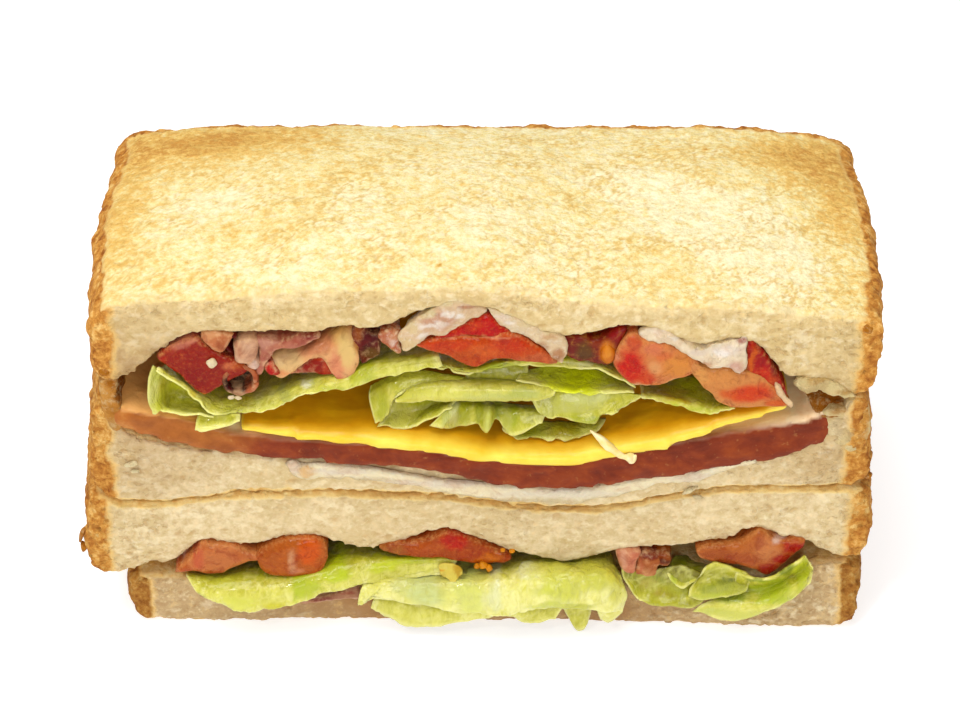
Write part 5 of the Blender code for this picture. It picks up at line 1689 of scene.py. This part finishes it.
hook_curl = rasher_curl(
    "bacon_upper_hook", "hook_curl", 501, (1.3, -0.9, 3.7), (2.5, 2.1), 0.8, 7.0, flare=0.35
)
hook_floor = chunk("bacon_upper_hook", "hook_floor", 505, [
    (-10, 15), (-1, 32), (20, 39), (29, 24), (19, -1), (-2, -3),
], (13, 13), 3.0, lumps=0.1, dome=0.1)
hook_lump = chunk("bacon_upper_hook", "hook_lump", 507, [
    (-40, 116), (-29, 123), (2, 119), (10, 115), (2, 106), (-9, 85), (-19, 89), (-39, 108),
], (-2, -6), 5.0, lumps=0.3, dome=0.5)
# The near-black patch is painted shade in the curl's hollow; the pale one low on its rim is partly a
# painted highlight.
for piece in (hook_curl, hook_floor):
    paint(piece.data, "bacon_upper_hook", (0.4, 0.12, 0.041), [
        (10, 32, 24, 21, 0.008, 0.002, 0.002, 1), (37, 41, 6, 20, 0.36, 0.077, 0.021, 0.9),
        (32, 33, 4, 15, 0.59, 0.29, 0.14, 0.8), (11, 14, 26, 7, 0.59, 0.36, 0.18, 0.9),
        (0, 3, 9, 5, 0.73, 0.56, 0.39, 0.95), (26, 21, 8, 10, 0.44, 0.11, 0.037, 0.8),
        (-8, 10, 10, 9, 0.25, 0.068, 0.002, 0.7),
    ], 502)
paint(hook_lump.data, "bacon_upper_hook", (0.48, 0.17, 0.06), [
    (-24, 119, 16, 7, 0.56, 0.25, 0.097, 0.8), (-8, 106, 10, 13, 0.33, 0.064, 0.013, 0.7),
    (-27, 105, 13, 7, 0.47, 0.12, 0.037, 0.6),
], 508)
hook_small = rasher_curl(
    "bacon_upper_hook", "hook_small_curl", 511, (0.6, -0.2, 9.8), (1.1, 1.5), 0.6, 5.0, (60.0, 260.0)
)
# The small curl is painted near-black all over: painted shade in its hollow.
paint(hook_small.data, "bacon_upper_hook", (0.077, 0.002, 0.002), [], 512)
rashers("bacon_upper_hook", hook_curl, hook_floor, hook_lump, hook_small)

wave_ribbon = rasher("bacon_upper_wave", "wave_ribbon", 521, [
    [(-1, 59, 11), (11, 59, 17), (31, 59, 22), (51, 59, 26), (71, 59, 39), (105, 59, 53), (120, 59, 53),
     (129, 59, 45)],
    [(-5, 23, 19), (11, 23, 27), (33, 23, 30), (53, 23, 35), (73, 23, 49), (109, 23, 67), (124, 23, 67),
     (130, 23, 58)],
    [(-7, 10, 24), (10, 10, 15), (32, 10, 19), (52, 10, 33), (74, 10, 41), (105, 10, 31), (121, 10, 38),
     (128, 10, 47)],
    [(-8, 9, 20), (9, 4, -5), (30, 4, 2), (51, 5, 23), (75, 6, 26), (98, 3, -12), (120, 6, 1),
     (126, 10, 22)],
], crinkle=0.12, ruffle=0.12, thickness=0.8)
paint(wave_ribbon.data, "bacon_upper_wave", (0.66, 0.33, 0.13), [
    (22, 26, 24, 20, 0.66, 0.44, 0.18, 0.9), (71, 51, 29, 13, 0.66, 0.24, 0.092, 0.9),
    (52, 42, 16, 9, 0.63, 0.25, 0.11, 0.7), (101, 69, 16, 24, 0.66, 0.38, 0.11, 0.9),
    (112, 39, 16, 30, 0.66, 0.45, 0.15, 0.85), (94, 14, 10, 27, 0.63, 0.21, 0.1, 0.9),
    (98, -4, 13, 7, 0.59, 0.17, 0.097, 0.9), (79, 69, 10, 8, 0.7, 0.53, 0.25, 0.8),
    (127, 63, 8, 27, 0.33, 0.097, 0.002, 0.8), (16, 4, 13, 4, 0.66, 0.25, 0.087, 0.8),
], 522)
wave_arch = chunk("bacon_upper_wave", "wave_arch", 531, [
    (40, 8), (51, 22), (63, 28), (75, 28), (87, 19), (90, -4), (74, -5), (60, 0), (40, 0), (25, -5),
    (31, 2),
], (9, 7), 5.0, lumps=0.2, dome=0.1)
wave_arc = chunk("bacon_upper_wave", "wave_red_arc", 534, [
    (-3, 28), (3, 26), (7, 15), (14, 5), (12, 1), (-1, 2), (-9, 12), (-8, 21),
], (2, -2), 4.0, lumps=0.14, dome=0.4)
for piece in (wave_arch, wave_arc):
    paint(piece.data, "bacon_upper_wave", (0.29, 0.013, 0.002), [
        (0, 12, 11, 20, 0.41, 0.003, 0.002, 0.9), (6, 20, 4, 9, 0.66, 0.17, 0.077, 0.6),
        (66, 28, 24, 5, 0.58, 0.052, 0.008, 0.9), (65, 12, 26, 11, 0.25, 0.008, 0.002, 0.8),
        (82, 9, 8, 17, 0.44, 0.044, 0.013, 0.7),
    ], 532)
wave_band = chunk("bacon_upper_wave", "wave_band", 541, [
    (-22, 62), (19, 63), (55, 71), (72, 71), (71, 63), (42, 50), (3, 42), (-12, 11), (-17, 3), (-22, 11),
    (-18, 29), (-18, 49),
], (6, -1), 6.0, (0.4, 0.13, 0.077), [
    (60, 69, 16, 6, 0.17, 0.002, 0.002, 0.9), (28, 62, 29, 5, 0.29, 0.052, 0.03, 0.8),
    (-5, 57, 16, 10, 0.47, 0.21, 0.14, 0.8), (-14, 26, 8, 20, 0.44, 0.14, 0.087, 0.8),
    (11, 52, 16, 5, 0.41, 0.13, 0.064, 0.6),
], lumps=0.34, dome=0.3)
wave_lumps = joined(
    "wave_lumps",
    chunk("bacon_upper_wave", "wave_lump_1", 545, [
        (-52, 52), (-46, 61), (-34, 66), (-22, 65), (-16, 56), (-20, 38), (-24, 26), (-33, 24), (-45, 26),
        (-52, 38),
    ], (3, -1), 5.0, lumps=0.3, dome=0.8),
    chunk("bacon_upper_wave", "wave_lump_2", 547, [
        (-36, 30), (-26, 34), (-18, 31), (-17, 21), (-22, 13), (-30, 14), (-36, 21),
    ], (1, -2), 4.0, lumps=0.2, dome=0.5),
)
# The palest patches are painted highlights on the glossy fat.
paint(wave_lumps.data, "bacon_upper_wave", (0.52, 0.27, 0.15), [
    (-43, 32, 10, 9, 0.66, 0.4, 0.25, 0.8), (-34, 57, 16, 10, 0.53, 0.3, 0.17, 0.8),
    (-24, 22, 8, 10, 0.68, 0.48, 0.37, 0.8), (-44, 51, 5, 13, 0.4, 0.14, 0.064, 0.6),
], 546)
rashers("bacon_upper_wave", wave_ribbon, wave_arch, wave_arc, wave_band, wave_lumps)

# A near-black fold set back at the rasher's end, for the shaded hollow there: painted shade over its dark
# edge.
shaded_end_fold = chunk("bacon_upper_end", "shaded_end_fold", 551, [
    (-12, 47), (2, 52), (13, 41), (24, 35), (26, 17), (23, -1), (10, -10), (-5, -18), (-10, 5),
], (-13, -16), 6.0, (0.12, 0.008, 0.002), [
    (8, 26, 13, 20, 0.052, 0.002, 0.002, 0.9), (-6, 41, 8, 13, 0.28, 0.068, 0.002, 0.8),
    (13, 4, 13, 12, 0.11, 0.052, 0.002, 0.8),
], lumps=0.4, dome=0.1)
rashers("bacon_upper_end", shaded_end_fold)

lower_panel = chunk("bacon_lower_roll", "lower_panel", 561, [
    (-2, 52), (19, 53), (36, 51), (31, 34), (28, 8), (16, 9), (5, 20), (-1, 34),
], (4, -1), 6.0, (0.58, 0.22, 0.11), [
    (9, 33, 5, 30, 0.66, 0.32, 0.19, 0.8), (22, 30, 6, 25, 0.5, 0.14, 0.068, 0.8),
    (31, 48, 8, 5, 0.44, 0.097, 0.044, 0.7),
], lumps=0.16, dome=0.7)
lower_fold = chunk("bacon_lower_roll", "lower_fold", 564, [
    (35, 46), (75, 39), (72, 30), (63, 22), (63, 4), (52, -3), (36, 3), (27, 8), (31, 28),
], (5, 0), 6.0, (0.4, 0.12, 0.03), [
    (46, 42, 20, 6, 0.12, 0.002, 0.002, 0.85), (47, 9, 12, 13, 0.52, 0.23, 0.082, 0.85),
    (35, 23, 6, 20, 0.44, 0.11, 0.037, 0.8), (59, 22, 12, 17, 0.36, 0.087, 0.013, 0.7),
], lumps=0.22, dome=0.6)
# The near-black patch is painted shade in the hollow between the folds.
lower_bits = chunk("bacon_lower_roll", "lower_bits", 567, [
    (58, 41), (75, 45), (84, 39), (81, 27), (74, 24), (64, 29),
], (4, 0), 5.0, (0.25, 0.052, 0.002), [
    (72, 33, 9, 6, 0.027, 0.002, 0.002, 0.8),
], lumps=0.4, dome=0.3)
rashers("bacon_lower_roll", lower_panel, lower_fold, lower_bits)


# ---- Ham strip in the lower half
# The cut end of a thin slice of ham, squeezed out flat below the lettuce against the bottom slice: mauve
# meat in paler fat.

strip_end = chunk("ham_lower_strip", "ham_lower_strip_cooked", 113, [
    (-24, 9), (-12, 16), (27, 21), (62, 36), (74, 31), (76, 14), (70, 9), (46, 9), (3, 2), (-16, -1),
], (14, 10), 4.0, (0.34, 0.15, 0.077), [
    (11, 11, 16, 4, 0.18, 0.027, 0.021, 0.85), (54, 23, 16, 3, 0.25, 0.052, 0.027, 0.85),
    (31, 6, 24, 3, 0.56, 0.33, 0.2, 0.8), (-12, 8, 6, 4, 0.53, 0.29, 0.17, 0.8),
    (66, 11, 8, 3, 0.58, 0.36, 0.23, 0.8),
], lumps=0.25, dome=0.3)
finish_piece(strip_end, bacon_rasher, "ham", "ham_lower_strip")


# ---- Torn bread
# Soft crumb beside the ham, where the slices' ends press together, and a flap torn from the top slice. A
# few flakes of crust and crumb cling to the cut. The crumb on the left and the ledge under the flap are
# painted dark as shade.

torn_crumb = wet_finish(
    "torn_crumb", (0.83, 0.7, 0.4), (0.25, 0.068, 0.002), 900.0, rim=(0.7, 0.53, 0.25),
    rough=(0.75, 0.95), coat=0.0, relief=1.6, flecked=0.9,
)
# Crumb beside the ham's left end, painted tan-brown as painted shade, darkest against the ham.
left_crumb = chunk("bread_upper_bottom", "torn_crumb_left", 701, [
    (43, 242), (51, 251), (61, 255), (69, 248), (70, 198), (71, 168), (61, 155), (50, 163), (43, 183),
], (5, 0), 24.0, (0.53, 0.22, 0.037), [
    (48, 214, 9, 45, 0.6, 0.28, 0.06, 0.9), (70, 229, 5, 32, 0.19, 0.048, 0.002, 0.85),
    (62, 244, 9, 10, 0.33, 0.097, 0.002, 0.8), (56, 167, 13, 14, 0.53, 0.27, 0.077, 0.9),
], lumps=0.3, dome=0.2, back=0.9)
# The second slice's top seen under the flap, dark brown and near-black: painted shade over its toasted
# brown.
right_ledge = chunk("bread_upper_bottom", "torn_crumb_ledge", 711, [
    (1077, 209), (1106, 211), (1130, 206), (1150, 201), (1174, 201), (1176, 192), (1176, 184),
    (1131, 181), (1104, 181), (1088, 194),
], (47, 0), 18.0, (0.36, 0.12, 0.01), [
    (1095, 225, 13, 12, 0.077, 0.003, 0.002, 0.9), (1121, 202, 16, 16, 0.29, 0.082, 0.003, 0.85),
    (1145, 206, 19, 12, 0.21, 0.052, 0.002, 0.8), (1166, 200, 13, 16, 0.47, 0.19, 0.03, 0.85),
], lumps=0.25, dome=0.1, back=0.95)
right_crumb = chunk("bread_upper_bottom", "torn_crumb_right", 721, [
    (1107, 187), (1125, 193), (1163, 197), (1173, 197), (1179, 175), (1180, 145), (1171, 119),
    (1151, 115), (1135, 124), (1124, 137), (1115, 163),
], (4, -1), 16.0, (0.7, 0.53, 0.25), [
    (1168, 166, 14, 45, 0.58, 0.26, 0.044, 0.95), (1136, 191, 19, 6, 0.44, 0.21, 0.052, 0.8),
    (1130, 156, 13, 24, 0.74, 0.6, 0.34, 0.8),
], lumps=0.3, dome=0.08, back=0.9)
torn_flap = chunk("bread_upper_top", "torn_flap", 731, [
    (1043, 60), (1052, 71), (1068, 77), (1089, 73), (1107, 64), (1125, 51), (1139, 39), (1126, 35),
    (1093, 48), (1081, 55), (1064, 51),
], (-1, -4), 4.0, (0.67, 0.52, 0.24), [
    (1077, 74, 25, 6, 0.52, 0.31, 0.087, 0.8), (1119, 52, 16, 6, 0.47, 0.25, 0.06, 0.8),
    (1054, 69, 9, 6, 0.66, 0.53, 0.25, 0.8),
], lumps=0.5, dome=0.1)
for piece in (left_crumb, right_ledge, right_crumb, torn_flap):
    finish_piece(piece, torn_crumb, "bread")
drops("crust_flakes", "bread_upper_bottom", 741, [
    ((-1, 1.7, -6.7), (0.35, 0.9, 1.5)),
    ((-0.9, 1.7, -9.2), (0.5, 0.7, 1.0)),
    ((118.8, 1.7, 5.4), (0.6, 0.6, 0.5)),
    ((116.2, 0.1, 34.8), (0.7, 0.5, 0.8)),
    ((5.2, 0.1, 26.8), (0.8, 0.5, 0.6)),
], (0.47, 0.17, 0.015), torn_crumb, "bread")
drops("crumbs", "bread_upper_bottom", 751, [
    ((7.9, -0.3, 9.3), (1.1, 0.4, 0.5)),
    ((8.4, -0.3, 7.9), (0.7, 0.3, 0.3)),
    ((91.8, -0.3, 4.1), (1.3, 0.4, 0.4)),
    ((93.1, -0.3, 2.7), (0.8, 0.3, 0.4)),
    ((79, -1.2, 13.4), (0.3, 0.3, 0.3)),
], (0.76, 0.63, 0.36), torn_crumb, "bread")
